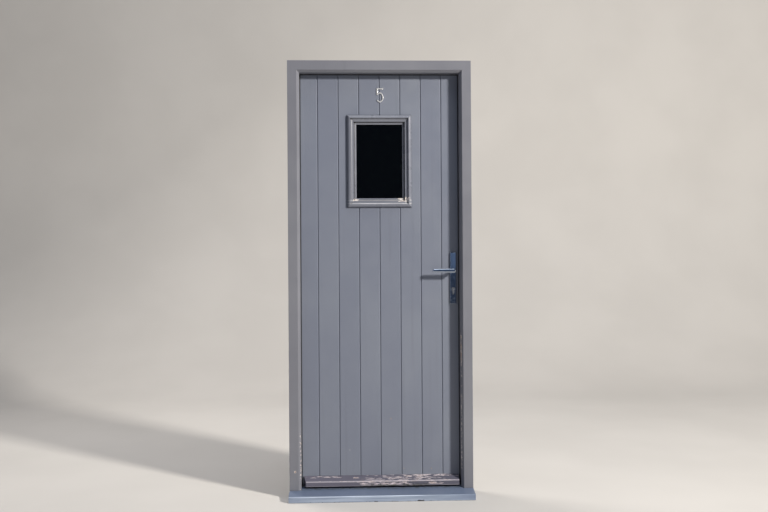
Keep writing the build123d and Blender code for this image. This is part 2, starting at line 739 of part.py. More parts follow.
with BuildPart() as insulation:
    lining_x = APERTURE_X + LINING_THICKNESS
    block(
        (-STILE_X, STILE_X),
        (CORE_FRONT, CORE_BACK),
        (middle_rail_z + MIDDLE_RAIL_WIDTH / 2, LEAF_TOP - TOP_RAIL_WIDTH),
    )
    block(
        (-lining_x, lining_x),
        (CORE_FRONT, CORE_BACK),
        (APERTURE_BOTTOM - LINING_THICKNESS, APERTURE_TOP + LINING_THICKNESS),
        Mode.SUBTRACT,
    )
    block(
        (-STILE_X, STILE_X),
        (CORE_FRONT, CORE_BACK),
        (LEAF_BOTTOM + BOTTOM_RAIL_WIDTH, middle_rail_z - MIDDLE_RAIL_WIDTH / 2),
    )
save(insulation, "insulation")

# Glazing, with a moulding outside that laps on the boards and a plain bead inside

crest = LEAF_FRONT - BEAD_PROJECTION
cove = crest + BEAD_COVE_DEPTH
step = cove + BEAD_STEP
crest_out = BEAD_WIDTH - BEAD_ROUND
crest_in = crest_out - BEAD_CREST
cove_top = crest + BEAD_FILLET
with BuildSketch() as outer_bead_section:
    with BuildLine():
        Line((0, GLASS_FRONT), (0, GLASS_FRONT - BEAD_EDGE_HEIGHT))
        Line((0, GLASS_FRONT - BEAD_EDGE_HEIGHT), (BEAD_COVE_END - BEAD_STEP_RUN, step))
        Line((BEAD_COVE_END - BEAD_STEP_RUN, step), (BEAD_COVE_END, cove))
        cove_middle = ((BEAD_COVE_END + crest_in) / 2, (cove + cove_top) / 2 + BEAD_COVE_SAG)
        ThreePointArc((BEAD_COVE_END, cove), cove_middle, (crest_in, cove_top))
        Line((crest_in, cove_top), (crest_in, crest))
        Line((crest_in, crest), (crest_out, crest))
        round_x = crest_out + BEAD_ROUND * sin(radians(45))
        round_y = LEAF_FRONT - BEAD_PROJECTION * cos(radians(45))
        ThreePointArc((crest_out, crest), (round_x, round_y), (BEAD_WIDTH, LEAF_FRONT))
        Line((BEAD_WIDTH, LEAF_FRONT), (APERTURE_MARGIN, LEAF_FRONT))
        Line((APERTURE_MARGIN, LEAF_FRONT), (APERTURE_MARGIN, GLASS_FRONT))
        Line((APERTURE_MARGIN, GLASS_FRONT), (0, GLASS_FRONT))
    make_face()
for side, bead in mitred_frame(outer_bead_section.sketch).items():
    save(bead, f"outer_bead_{side}")

inner_top = LEAF_BACK + INNER_BEAD_PROJECTION
with BuildSketch() as inner_bead_section:
    with BuildLine():
        Polyline(
            (0, GLASS_BACK),
            (APERTURE_MARGIN, GLASS_BACK),
            (APERTURE_MARGIN, inner_top),
            (APERTURE_MARGIN / 2, inner_top),
            (0, GLASS_BACK + INNER_BEAD_EDGE_HEIGHT),
            close=True,
        )
    make_face()
inner_beads = group(mitred_frame(inner_bead_section.sketch).values())
save(inner_beads, "inner_beads")

glass_x = SIGHT_X + GLASS_MARGIN
glass_z = (LIGHT_Z - SIGHT_RISE - GLASS_MARGIN, LIGHT_Z + SIGHT_RISE + GLASS_MARGIN)
with BuildPart() as glass_outer:
    block((-glass_x, glass_x), (GLASS_FRONT, GLASS_FRONT + PANE_THICKNESS), glass_z)
save(glass_outer, "glass_outer")

with BuildPart() as glass_inner:
    block((-glass_x, glass_x), (GLASS_BACK - PANE_THICKNESS, GLASS_BACK), glass_z)
save(glass_inner, "glass_inner")

with BuildPart() as glass_spacer:
    spacer_y = (GLASS_FRONT + PANE_THICKNESS, GLASS_BACK - PANE_THICKNESS)
    block((-glass_x, glass_x), spacer_y, glass_z)
    block(
        (-glass_x + SPACER_WIDTH, glass_x - SPACER_WIDTH),
        spacer_y,
        (glass_z[0] + SPACER_WIDTH, glass_z[1] - SPACER_WIDTH),
        Mode.SUBTRACT,
    )
save(glass_spacer, "glass_spacer")

# Weatherboard along the leaf's foot, splayed at the hinge end

weather_front = LEAF_FRONT - WEATHERBOARD_PROJECTION
weather_left = -STOP_X + WEATHERBOARD_END_GAP
weather_right = STOP_X - WEATHERBOARD_END_GAP
with BuildPart() as weatherboard:
    with BuildSketch(Plane.YZ.offset(weather_left)) as weather_section:
        with BuildLine():
            Polyline(
                (LEAF_FRONT, LEAF_BOTTOM),
                (LEAF_FRONT, LEAF_BOTTOM + WEATHERBOARD_HEIGHT),
                (weather_front, LEAF_BOTTOM + WEATHERBOARD_NOSE),
                (weather_front, LEAF_BOTTOM),
                close=True,
            )
        make_face()
        fillet(weather_section.vertices().group_by(Axis.X)[0].sort_by(Axis.Y)[-1], WEATHERBOARD_NOSE_RADIUS)
        with Locations((weather_front + THROAT_SETBACK, LEAF_BOTTOM)):
            Circle(THROAT_RADIUS, mode=Mode.SUBTRACT)
    extrude(amount=weather_right - weather_left)
    splay = (WEATHERBOARD_PROJECTION, WEATHERBOARD_SPLAY, 0)
    split(bisect_by=Plane(origin=(weather_left, LEAF_FRONT, 0), z_dir=splay), keep=Keep.TOP)
save(weatherboard, "weatherboard")

# House number, a flat numeral with a tall bowl

bowl_x = DIGIT_WIDTH / 2
bowl_z = DIGIT_BOWL / 2
stem_left = -bowl_x + DIGIT_STEM_INSET
bar_bottom = DIGIT_HEIGHT - DIGIT_STROKE
number_z = LEAF_TOP - NUMBER_DROP - DIGIT_HEIGHT / 2
number_plane = Plane(origin=(NUMBER_OFFSET, LEAF_FRONT, number_z), x_dir=(1, 0, 0), z_dir=(0, -1, 0))
with BuildPart() as house_number:
    with BuildSketch(number_plane):
        with Locations((0, bowl_z)):
            Ellipse(bowl_x, bowl_z)
            Ellipse(bowl_x - DIGIT_STROKE, bowl_z - DIGIT_STROKE, mode=Mode.SUBTRACT)
        with Locations((0, DIGIT_TERMINAL)):
            Rectangle(bowl_x, bowl_z, align=(Align.MAX, Align.MIN), mode=Mode.SUBTRACT)
        with Locations((stem_left, DIGIT_TERMINAL + bowl_z)):
            Rectangle(DIGIT_STROKE, bar_bottom - DIGIT_TERMINAL - bowl_z, align=(Align.MIN, Align.MIN))
        with BuildLine():
            Polyline(
                (stem_left, bar_bottom),
                (bowl_x - 2 * DIGIT_FLARE, bar_bottom),
                (bowl_x - DIGIT_FLARE, bar_bottom - DIGIT_FLARE),
                (bowl_x - DIGIT_FLARE, DIGIT_HEIGHT + DIGIT_FLARE),
                (bowl_x - 2 * DIGIT_FLARE, DIGIT_HEIGHT),
                (stem_left, DIGIT_HEIGHT),
                close=True,
            )
        make_face()
    extrude(amount=DIGIT_THICKNESS)
save(house_number, "house_number")

# Lock case, open at the leaf's edge, where the faceplate closes it

with BuildPart() as lock_case:
    case_z = (SPINDLE_Z - CASE_BELOW, SPINDLE_Z + CASE_ABOVE)
    case_y = (LEAF_MIDDLE - CASE_THICKNESS / 2, LEAF_MIDDLE + CASE_THICKNESS / 2)
    block((CASE_BACK, CASE_FRONT), case_y, case_z)
    block(
        (CASE_BACK + CASE_WALL, CASE_FRONT),
        (LEAF_MIDDLE - CASE_INNER, LEAF_MIDDLE + CASE_INNER),
        (case_z[0] + CASE_WALL, case_z[1] - CASE_WALL),
        Mode.SUBTRACT,
    )
    add(furniture_holes.part, mode=Mode.SUBTRACT)
save(lock_case, "lock_case")

# Latch and dead bolt, both drawn back into the case

bolt_half_y = CASE_INNER - BOLT_CLEARANCE
with BuildPart() as latch_bolt:
    block(
        (LEAF_EDGE - LATCH_LENGTH, LEAF_EDGE),
        (LEAF_MIDDLE - bolt_half_y, LEAF_MIDDLE + bolt_half_y),
        (LATCH_Z - LATCH_HEIGHT / 2, LATCH_Z + LATCH_HEIGHT / 2),
    )
    latch_nose = latch_bolt.edges().filter_by(Axis.Z).group_by(Axis.X)[-1].sort_by(Axis.Y)[0]
    chamfer(latch_nose, length=2 * bolt_half_y - LATCH_LAND, length2=LATCH_TRAVEL - LATCH_LAND)
    block(
        (LEAF_EDGE - LATCH_LENGTH - LATCH_TAIL, LEAF_EDGE - LATCH_LENGTH),
        (LEAF_MIDDLE - LATCH_TAIL_THICKNESS / 2, LEAF_MIDDLE + LATCH_TAIL_THICKNESS / 2),
        (LATCH_Z - LATCH_TAIL_HEIGHT / 2, LATCH_Z + LATCH_TAIL_HEIGHT / 2),
    )
save(latch_bolt, "latch_bolt")

with BuildPart() as dead_bolt:
    block(
        (LEAF_EDGE - BOLT_LENGTH, LEAF_EDGE),
        (LEAF_MIDDLE - bolt_half_y, LEAF_MIDDLE + bolt_half_y),
        (BOLT_Z - BOLT_HEIGHT / 2, BOLT_Z + BOLT_HEIGHT / 2),
    )
save(dead_bolt, "dead_bolt")

# Faceplate on the leaf's edge, and the screw through it that holds the cylinder

with BuildPart() as cylinder_screw:
    add(
        build_screw(CYLINDER_SCREW_HEAD, CYLINDER_SCREW_RADIUS, BACKSET).moved(
            Plane(origin=(LEAF_EDGE, LEAF_MIDDLE, CYLINDER_SCREW_Z), z_dir=(1, 0, 0)).location
        )
    )
save(cylinder_screw, "cylinder_screw")

with BuildPart() as faceplate:
    block(
        (CASE_FRONT, LEAF_EDGE),
        (LEAF_MIDDLE - FACEPLATE_WIDTH / 2, LEAF_MIDDLE + FACEPLATE_WIDTH / 2),
        faceplate_span,
    )
    for height, half in ((LATCH_Z, LATCH_HEIGHT / 2), (BOLT_Z, BOLT_HEIGHT / 2)):
        block(
            (CASE_FRONT, LEAF_EDGE),
            (LEAF_MIDDLE - CASE_INNER, LEAF_MIDDLE + CASE_INNER),
            (height - half - BOLT_CLEARANCE, height + half + BOLT_CLEARANCE),
            Mode.SUBTRACT,
        )
    add(faceplate_screws.part, mode=Mode.SUBTRACT)
    add(cylinder_screw.part, mode=Mode.SUBTRACT)
save(faceplate, "faceplate")

# Cylinder, cut away round the cam that its plug turns

cylinder_back = 2 * LEAF_MIDDLE - CYLINDER_FRONT
cylinder_length = cylinder_back - CYLINDER_FRONT
with BuildPart() as cylinder_body:
    add(cylinder_prism(0, CYLINDER_FRONT, cylinder_back))
    plug_bore = PLUG_RADIUS + PLUG_CLEARANCE
    rod((SPINDLE_X, LEAF_MIDDLE, CYLINDER_Z), (0, 1, 0), plug_bore, cylinder_length, Mode.SUBTRACT)
    block(
        (SPINDLE_X - CYLINDER_RADIUS, SPINDLE_X + CYLINDER_RADIUS),
        (LEAF_MIDDLE - CAM_GAP / 2, LEAF_MIDDLE + CAM_GAP / 2),
        (CYLINDER_Z - CAM_RADIUS - CAM_CLEARANCE, CYLINDER_Z + CYLINDER_RADIUS),
        Mode.SUBTRACT,
    )
    add(cylinder_screw.part, mode=Mode.SUBTRACT)
save(cylinder_body, "cylinder_body")

with BuildPart() as cylinder_plug:
    rod((SPINDLE_X, LEAF_MIDDLE, CYLINDER_Z), (0, 1, 0), PLUG_RADIUS, cylinder_length)
    with BuildSketch(Plane.XZ.offset(-LEAF_MIDDLE)):
        with Locations((SPINDLE_X, CYLINDER_Z)):
            Circle(CYLINDER_RADIUS)
            Rectangle(CAM_WIDTH, CAM_RADIUS - CAM_WIDTH / 2, align=(Align.CENTER, Align.MAX))
        with Locations((SPINDLE_X, CYLINDER_Z - CAM_RADIUS + CAM_WIDTH / 2)):
            Circle(CAM_WIDTH / 2)
    extrude(amount=CAM_THICKNESS / 2, both=True)
    for front, back in (
        (CYLINDER_FRONT, CYLINDER_FRONT + KEYWAY_DEPTH),
        (cylinder_back - KEYWAY_DEPTH, cylinder_back),
    ):
        block(
            (SPINDLE_X - KEYWAY_WIDTH / 2, SPINDLE_X + KEYWAY_WIDTH / 2),
            (front, back),
            (CYLINDER_Z - KEYWAY_HEIGHT / 2, CYLINDER_Z + KEYWAY_HEIGHT / 2),
            Mode.SUBTRACT,
        )
save(cylinder_plug, "cylinder_plug")

# Backplates, one each side of the leaf, held by bolts from the inner side

inner_plate_face = LEAF_BACK + PLATE_THICKNESS
with BuildPart() as plate_bolts:
    for height in bolt_heights:
        bolt_length = inner_plate_face - LEAF_FRONT + PLATE_BOLT_THREAD
        place = Plane(origin=(SPINDLE_X, inner_plate_face, height), z_dir=(0, 1, 0)).location
        add(build_screw(PLATE_BOLT_HEAD, PLATE_BOLT_RADIUS, bolt_length).moved(place))
save(plate_bolts, "plate_bolts")

plate_middle = SPINDLE_Z + PLATE_ABOVE - PLATE_HEIGHT / 2
with BuildPart() as outer_backplate:
    with BuildSketch(Plane.XZ.offset(-LEAF_FRONT)):
        with Locations((SPINDLE_X, plate_middle)):
            RectangleRounded(PLATE_WIDTH, PLATE_HEIGHT, PLATE_CORNER)
    extrude(amount=PLATE_THICKNESS)
    chamfer(outer_backplate.faces().sort_by(Axis.Y)[0].edges(), PLATE_BEVEL)
    neck_bore = LEVER_NECK_RADIUS + LEVER_NECK_CLEARANCE
    rod((SPINDLE_X, LEAF_FRONT, SPINDLE_Z), (0, 1, 0), neck_bore, 2 * PLATE_THICKNESS, Mode.SUBTRACT)
    add(cylinder_hole, mode=Mode.SUBTRACT)

mirror_plane = Plane.XZ.offset(-LEAF_MIDDLE)
with BuildPart() as inner_backplate:
    add(mirror(outer_backplate.part, about=mirror_plane))
    add(plate_bolts.part, mode=Mode.SUBTRACT)
with outer_backplate:
    add(plate_bolts.part, mode=Mode.SUBTRACT)
save(outer_backplate, "outer_backplate")
save(inner_backplate, "inner_backplate")

# Spindle, follower and levers, which turn together

spindle_end = LEAF_FRONT - SPINDLE_DEPTH
spindle_length = 2 * (LEAF_MIDDLE - spindle_end)
with BuildPart() as spindle:
    with Locations((SPINDLE_X, LEAF_MIDDLE, SPINDLE_Z)):
        Box(SPINDLE_SIZE, spindle_length, SPINDLE_SIZE)
save(spindle, "spindle")

socket = SPINDLE_SIZE + 2 * SPINDLE_CLEARANCE
with BuildPart() as follower:
    rod((SPINDLE_X, LEAF_MIDDLE, SPINDLE_Z), (0, 1, 0), FOLLOWER_RADIUS, 2 * bolt_half_y)
    block(
        (SPINDLE_X - FOLLOWER_NOSE, SPINDLE_X),
        (LEAF_MIDDLE - bolt_half_y, LEAF_MIDDLE + bolt_half_y),
        (SPINDLE_Z - FOLLOWER_NOSE_HEIGHT / 2, SPINDLE_Z + FOLLOWER_NOSE_HEIGHT / 2),
    )
    rod((SPINDLE_X, LEAF_MIDDLE, SPINDLE_Z), (0, 1, 0), FOLLOWER_NECK_RADIUS, CASE_THICKNESS)
    with Locations((SPINDLE_X, LEAF_MIDDLE, SPINDLE_Z)):
        Box(socket, CASE_THICKNESS, socket, mode=Mode.SUBTRACT)
save(follower, "follower")

grip_back = GRIP_FRONT + LEVER_GRIP
lever_root = SPINDLE_X + LEVER_NECK_RADIUS
lever_tip = SPINDLE_X - LEVER_LENGTH
with BuildPart() as outer_lever:
    with BuildSketch(Plane.XZ.offset(-grip_back)) as grip:
        with BuildLine():
            Polyline(
                (SPINDLE_X, SPINDLE_Z + LEVER_ROOT_HEIGHT / 2),
                (lever_tip, SPINDLE_Z + LEVER_TIP_HEIGHT / 2),
                (lever_tip, SPINDLE_Z - LEVER_TIP_HEIGHT / 2),
                (SPINDLE_X, SPINDLE_Z - LEVER_ROOT_HEIGHT / 2),
                close=True,
            )
        make_face()
        fillet(grip.vertices().group_by(Axis.X)[0], LEVER_TIP_CORNER)
        with Locations((SPINDLE_X, SPINDLE_Z)):
            Circle(LEVER_ROOT_HEIGHT / 2)
    extrude(amount=LEVER_GRIP)
    fillet(outer_lever.faces().sort_by(Axis.Y)[0].edges(), LEVER_ROUND)
    neck_back = LEAF_FRONT - PLATE_THICKNESS + LEVER_SEAT
    neck_middle = (neck_back + GRIP_FRONT + LEVER_GRIP / 2) / 2
    neck_length = neck_back - GRIP_FRONT - LEVER_GRIP / 2
    rod((SPINDLE_X, neck_middle, SPINDLE_Z), (0, 1, 0), LEVER_NECK_RADIUS, neck_length)
    block(
        (SPINDLE_X - socket / 2, SPINDLE_X + socket / 2),
        (spindle_end, neck_back),
        (SPINDLE_Z - socket / 2, SPINDLE_Z + socket / 2),
        Mode.SUBTRACT,
    )
save(outer_lever, "outer_lever")

with BuildPart() as inner_lever:
    add(mirror(outer_lever.part, about=mirror_plane))
save(inner_lever, "inner_lever")
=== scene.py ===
"""Boarded front door in its timber frame: finishes, small fittings and a studio.

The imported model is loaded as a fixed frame. The classes below dress its nodes, add the small
fittings that its solids leave out, and set up a plain studio with the photograph's camera.
"""

import logging
import math
from collections.abc import Iterable
from dataclasses import dataclass, field
from enum import Enum

import bmesh
import bpy
from mathutils import Matrix, Vector


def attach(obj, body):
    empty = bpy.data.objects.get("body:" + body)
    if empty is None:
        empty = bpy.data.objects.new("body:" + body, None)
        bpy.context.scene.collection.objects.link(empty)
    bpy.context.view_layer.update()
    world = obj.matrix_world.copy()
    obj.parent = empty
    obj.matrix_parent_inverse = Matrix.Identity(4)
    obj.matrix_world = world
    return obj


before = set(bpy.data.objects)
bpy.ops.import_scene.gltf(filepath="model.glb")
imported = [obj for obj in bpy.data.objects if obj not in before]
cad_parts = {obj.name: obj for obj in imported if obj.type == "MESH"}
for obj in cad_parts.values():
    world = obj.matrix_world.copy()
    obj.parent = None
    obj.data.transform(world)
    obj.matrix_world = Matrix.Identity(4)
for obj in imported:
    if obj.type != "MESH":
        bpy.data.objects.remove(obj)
log = logging.getLogger("door")

MM = 0.001
Point = tuple[float, float, float]
Band = tuple[float, float]
Socket = bpy.types.NodeSocket

# Rays that each softened edge and each crevice takes
RAYS = 6
# How far apart the patterns of two pieces are taken, in metres
OWN_SHIFT = (5.0, 5.0, 5.0)
# Share of a patch's half size up to which it is at its full level, and where it has faded out
PATCH_FADE = (0.35, 1.15)
# Size of the pattern that moves a patch's edge, and by what share of its half size it does so
RAGGED_MM = 30.0
RAGGED_BAND = (0.3, 0.7)
RAGGED_SHARE = 0.25
# How far a softened normal leans on a flat and on a worn edge, as a cosine
EDGE_BAND = (0.99, 0.8)
# Share of the sky that is left where the painted shade and soiling in grooves and corners begin
NEARLY_OPEN = 0.95
# Index of refraction that paint, timber and rubber share
COMMON_IOR = 1.5
# Decimal places of a metre at which two corners are the same, and at which two boxes are in line
SAME_CORNER = 5
IN_LINE = 4


def linear(code: str) -> tuple[float, float, float, float]:
    """Turn an sRGB hex colour to linear light.

    Args:
        code: The colour as six hex digits after a hash.

    Returns:
        Red, green, blue and an alpha of one.
    """
    parts = [int(code[i : i + 2], 16) / 255 for i in (1, 3, 5)]
    red, green, blue = (c / 12.92 if c <= 0.04045 else ((c + 0.055) / 1.055) ** 2.4 for c in parts)
    return red, green, blue, 1.0


def per_metre(size_mm: float) -> float:
    """Pattern scale whose features are about size_mm across."""
    return 1.0 / (size_mm * MM)


class Run(Enum):
    """The way that a timber's grain and its brush marks run, as stretch factors for a pattern."""

    UPRIGHT = (1.0, 1.0, 0.04)
    ACROSS = (0.04, 1.0, 1.0)


class Detail(Enum):
    """How finely a cloudy pattern is broken up, in octaves."""

    SMOOTH = 2.0
    PLAIN = 3.0
    BROKEN = 4.0
    FINE = 5.0
    FRAYED = 6.0


class Step(Enum):
    """What a node does, as its kind, its settings, its inputs in order and its result.

    A colour blend takes its amount at 0 and its colours at 6 and 7, and gives its colour at 2.
    """

    PLACE = ("TexCoord", {}, (), "Object")
    SEED = ("ObjectInfo", {}, (), "Random")
    FACE = ("NewGeometry", {}, (), "Normal")
    SOFT_FACE = ("Bevel", {"samples": RAYS}, ("Radius",), "Normal")
    OPEN_SKY = ("AmbientOcclusion", {"samples": RAYS}, ("Distance",), "AO")
    RELIEF = ("Bump", {}, ("Strength", "Distance", "Height", "Normal"), "Normal")
    SCALE = ("VectorMath", {"operation": "SCALE"}, (0, "Scale"), "Vector")
    MOVE = ("VectorMath", {"operation": "ADD"}, (0, 1), "Vector")
    OFFSET = ("VectorMath", {"operation": "SUBTRACT"}, (0, 1), "Vector")
    EACH_SIZE = ("VectorMath", {"operation": "ABSOLUTE"}, (0,), "Vector")
    EACH_SHARE = ("VectorMath", {"operation": "DIVIDE"}, (0, 1), "Vector")
    STRETCH = ("VectorMath", {"operation": "MULTIPLY"}, (0, 1), "Vector")
    LEAN = ("VectorMath", {"operation": "DOT_PRODUCT"}, (0, 1), "Value")
    X = ("SeparateXYZ", {}, (0,), "X")
    Y = ("SeparateXYZ", {}, (0,), "Y")
    Z = ("SeparateXYZ", {}, (0,), "Z")
    PLUS = ("Math", {"operation": "ADD"}, (0, 1), "Value")
    MINUS = ("Math", {"operation": "SUBTRACT"}, (0, 1), "Value")
    TIMES = ("Math", {"operation": "MULTIPLY"}, (0, 1), "Value")
    GREATER = ("Math", {"operation": "MAXIMUM"}, (0, 1), "Value")
    CLOUD = ("TexNoise", {}, ("Vector", "Scale", "Detail"), "Fac")
    EASE = (
        "MapRange",
        {"interpolation_type": "SMOOTHSTEP"},
        ("Value", "From Min", "From Max", "To Min", "To Max"),
        "Result",
    )
    BLEND = ("Mix", {"data_type": "RGBA"}, (0, 6, 7), 2)


@dataclass(frozen=True)
class Patch:
    """A place where a finish changes, as a soft-edged box.

    Attributes:
        centre: The box's middle in the frame's metres.
        half: Half its size on each axis, in metres.
        level: How strong the change is in its middle.
    """

    centre: Point
    half: Point
    level: float


@dataclass
class Surface:
    """A material under construction.

    Attributes:
        name: The material's name.
        material: The material itself.
        tree: Its node tree.
        shader: Its principled shader.
        place: The place on the object, in metres, from which its patterns are worked out.
    """

    name: str
    material: bpy.types.Material = field(init=False)
    tree: bpy.types.NodeTree = field(init=False)
    shader: bpy.types.Node = field(init=False)
    place: Socket = field(init=False)

    def __post_init__(self) -> None:
        """Start the material with a bare shader and its place on the object."""
        self.material = bpy.data.materials.new(self.name)
        self.material.use_nodes = True
        self.tree = self.material.node_tree
        self.shader = next(n for n in self.tree.nodes if n.type == "BSDF_PRINCIPLED")
        self.place = self.add(Step.PLACE)

    def join(self, socket: Socket, value: object) -> None:
        """Link an input to a socket, or give it a value.

        Args:
            socket: The input.
            value: A socket, a value or a named option.
        """
        if isinstance(value, Socket):
            self.tree.links.new(value, socket)
        else:
            socket.default_value = value.value if isinstance(value, Enum) else value

    def add(self, step: Step, *values: object) -> Socket:
        """Add a node with its settings and links.

        Args:
            step: What the node does.
            values: A socket, a value or a named option for each of its inputs, in order.

        Returns:
            The node's result.
        """
        kind, settings, names, result = step.value
        node = self.tree.nodes.new(f"ShaderNode{kind}")
        for name, setting in settings.items():
            setattr(node, name, setting)
        for name, value in zip(names, values):
            self.join(node.inputs[name], value)
        return node.outputs[result]

    def own_place(self) -> Socket:
        """Move the place by a random amount for each object, so that no two pieces look alike."""
        shift = self.add(Step.SCALE, OWN_SHIFT, self.add(Step.SEED))
        return self.add(Step.MOVE, self.place, shift)

    def patched(self, patches: tuple[Patch, ...]) -> Socket:
        """Strength of a set of patches at each place.

        Args:
            patches: The patches, at least one.

        Returns:
            The highest level of the patches, fading to 0 at their edges.
        """
        total: Socket | None = None
        # A slow pattern moves each patch's edge in and out
        drawn = self.add(Step.STRETCH, self.place, Run.ACROSS)
        slow = self.add(Step.CLOUD, drawn, per_metre(RAGGED_MM), Detail.BROKEN)
        ragged = self.add(Step.EASE, slow, *RAGGED_BAND, -RAGGED_SHARE, RAGGED_SHARE)
        for patch in patches:
            offset = self.add(Step.EACH_SIZE, self.add(Step.OFFSET, self.place, patch.centre))
            share = self.add(Step.EACH_SHARE, offset, patch.half)
            x, y, z = (self.add(axis, share) for axis in (Step.X, Step.Y, Step.Z))
            reach = self.add(Step.GREATER, self.add(Step.GREATER, x, y), z)
            reach = self.add(Step.PLUS, reach, ragged)
            level = self.add(Step.EASE, reach, *PATCH_FADE, patch.level, 0.0)
            total = level if total is None else self.add(Step.GREATER, total, level)
        return total

    def edges(self, radius_mm: float) -> Socket:
        """Find the sharp edges.

        Args:
            radius_mm: How far an edge's wear reaches onto the faces beside it.

        Returns:
            A mask that rises from 0 on flats to 1 on a sharp edge.
        """
        soft = self.add(Step.SOFT_FACE, radius_mm * MM)
        lean = self.add(Step.LEAN, soft, self.add(Step.FACE))
        return self.add(Step.EASE, lean, *EDGE_BAND)

    def crevices(self, reach_mm: float, full: float) -> Socket:
        """Find the grooves and corners, for painted shade with some soiling.

        Args:
            reach_mm: How far from a groove or corner its painted shade and soiling reach.
            full: The open share of the sky at which the mask is 1.

        Returns:
            A mask that rises from 0 in the open.
        """
        sky = self.add(Step.OPEN_SKY, reach_mm * MM)
        return self.add(Step.EASE, sky, NEARLY_OPEN, full)

    def relief(self, height: Socket, depth_mm: float, round_mm: float) -> Socket:
        """Lay a height pattern over faces whose sharp edges are rounded.

        Args:
            height: The pattern.
            depth_mm: Its depth.
            round_mm: The radius of the edges.

        Returns:
            The normal.
        """
        soft = self.add(Step.SOFT_FACE, round_mm * MM)
        return self.add(Step.RELIEF, 1.0, depth_mm * MM, height, soft)

    def set(self, **sockets: object) -> bpy.types.Material:
        """Give the shader its values and links.

        Args:
            sockets: A value or a socket for each input, with underscores for the spaces in its name.

        Returns:
            The finished material.
        """
        for name, value in sockets.items():
            self.join(self.shader.inputs[name.replace("_", " ")], value)
        return self.material


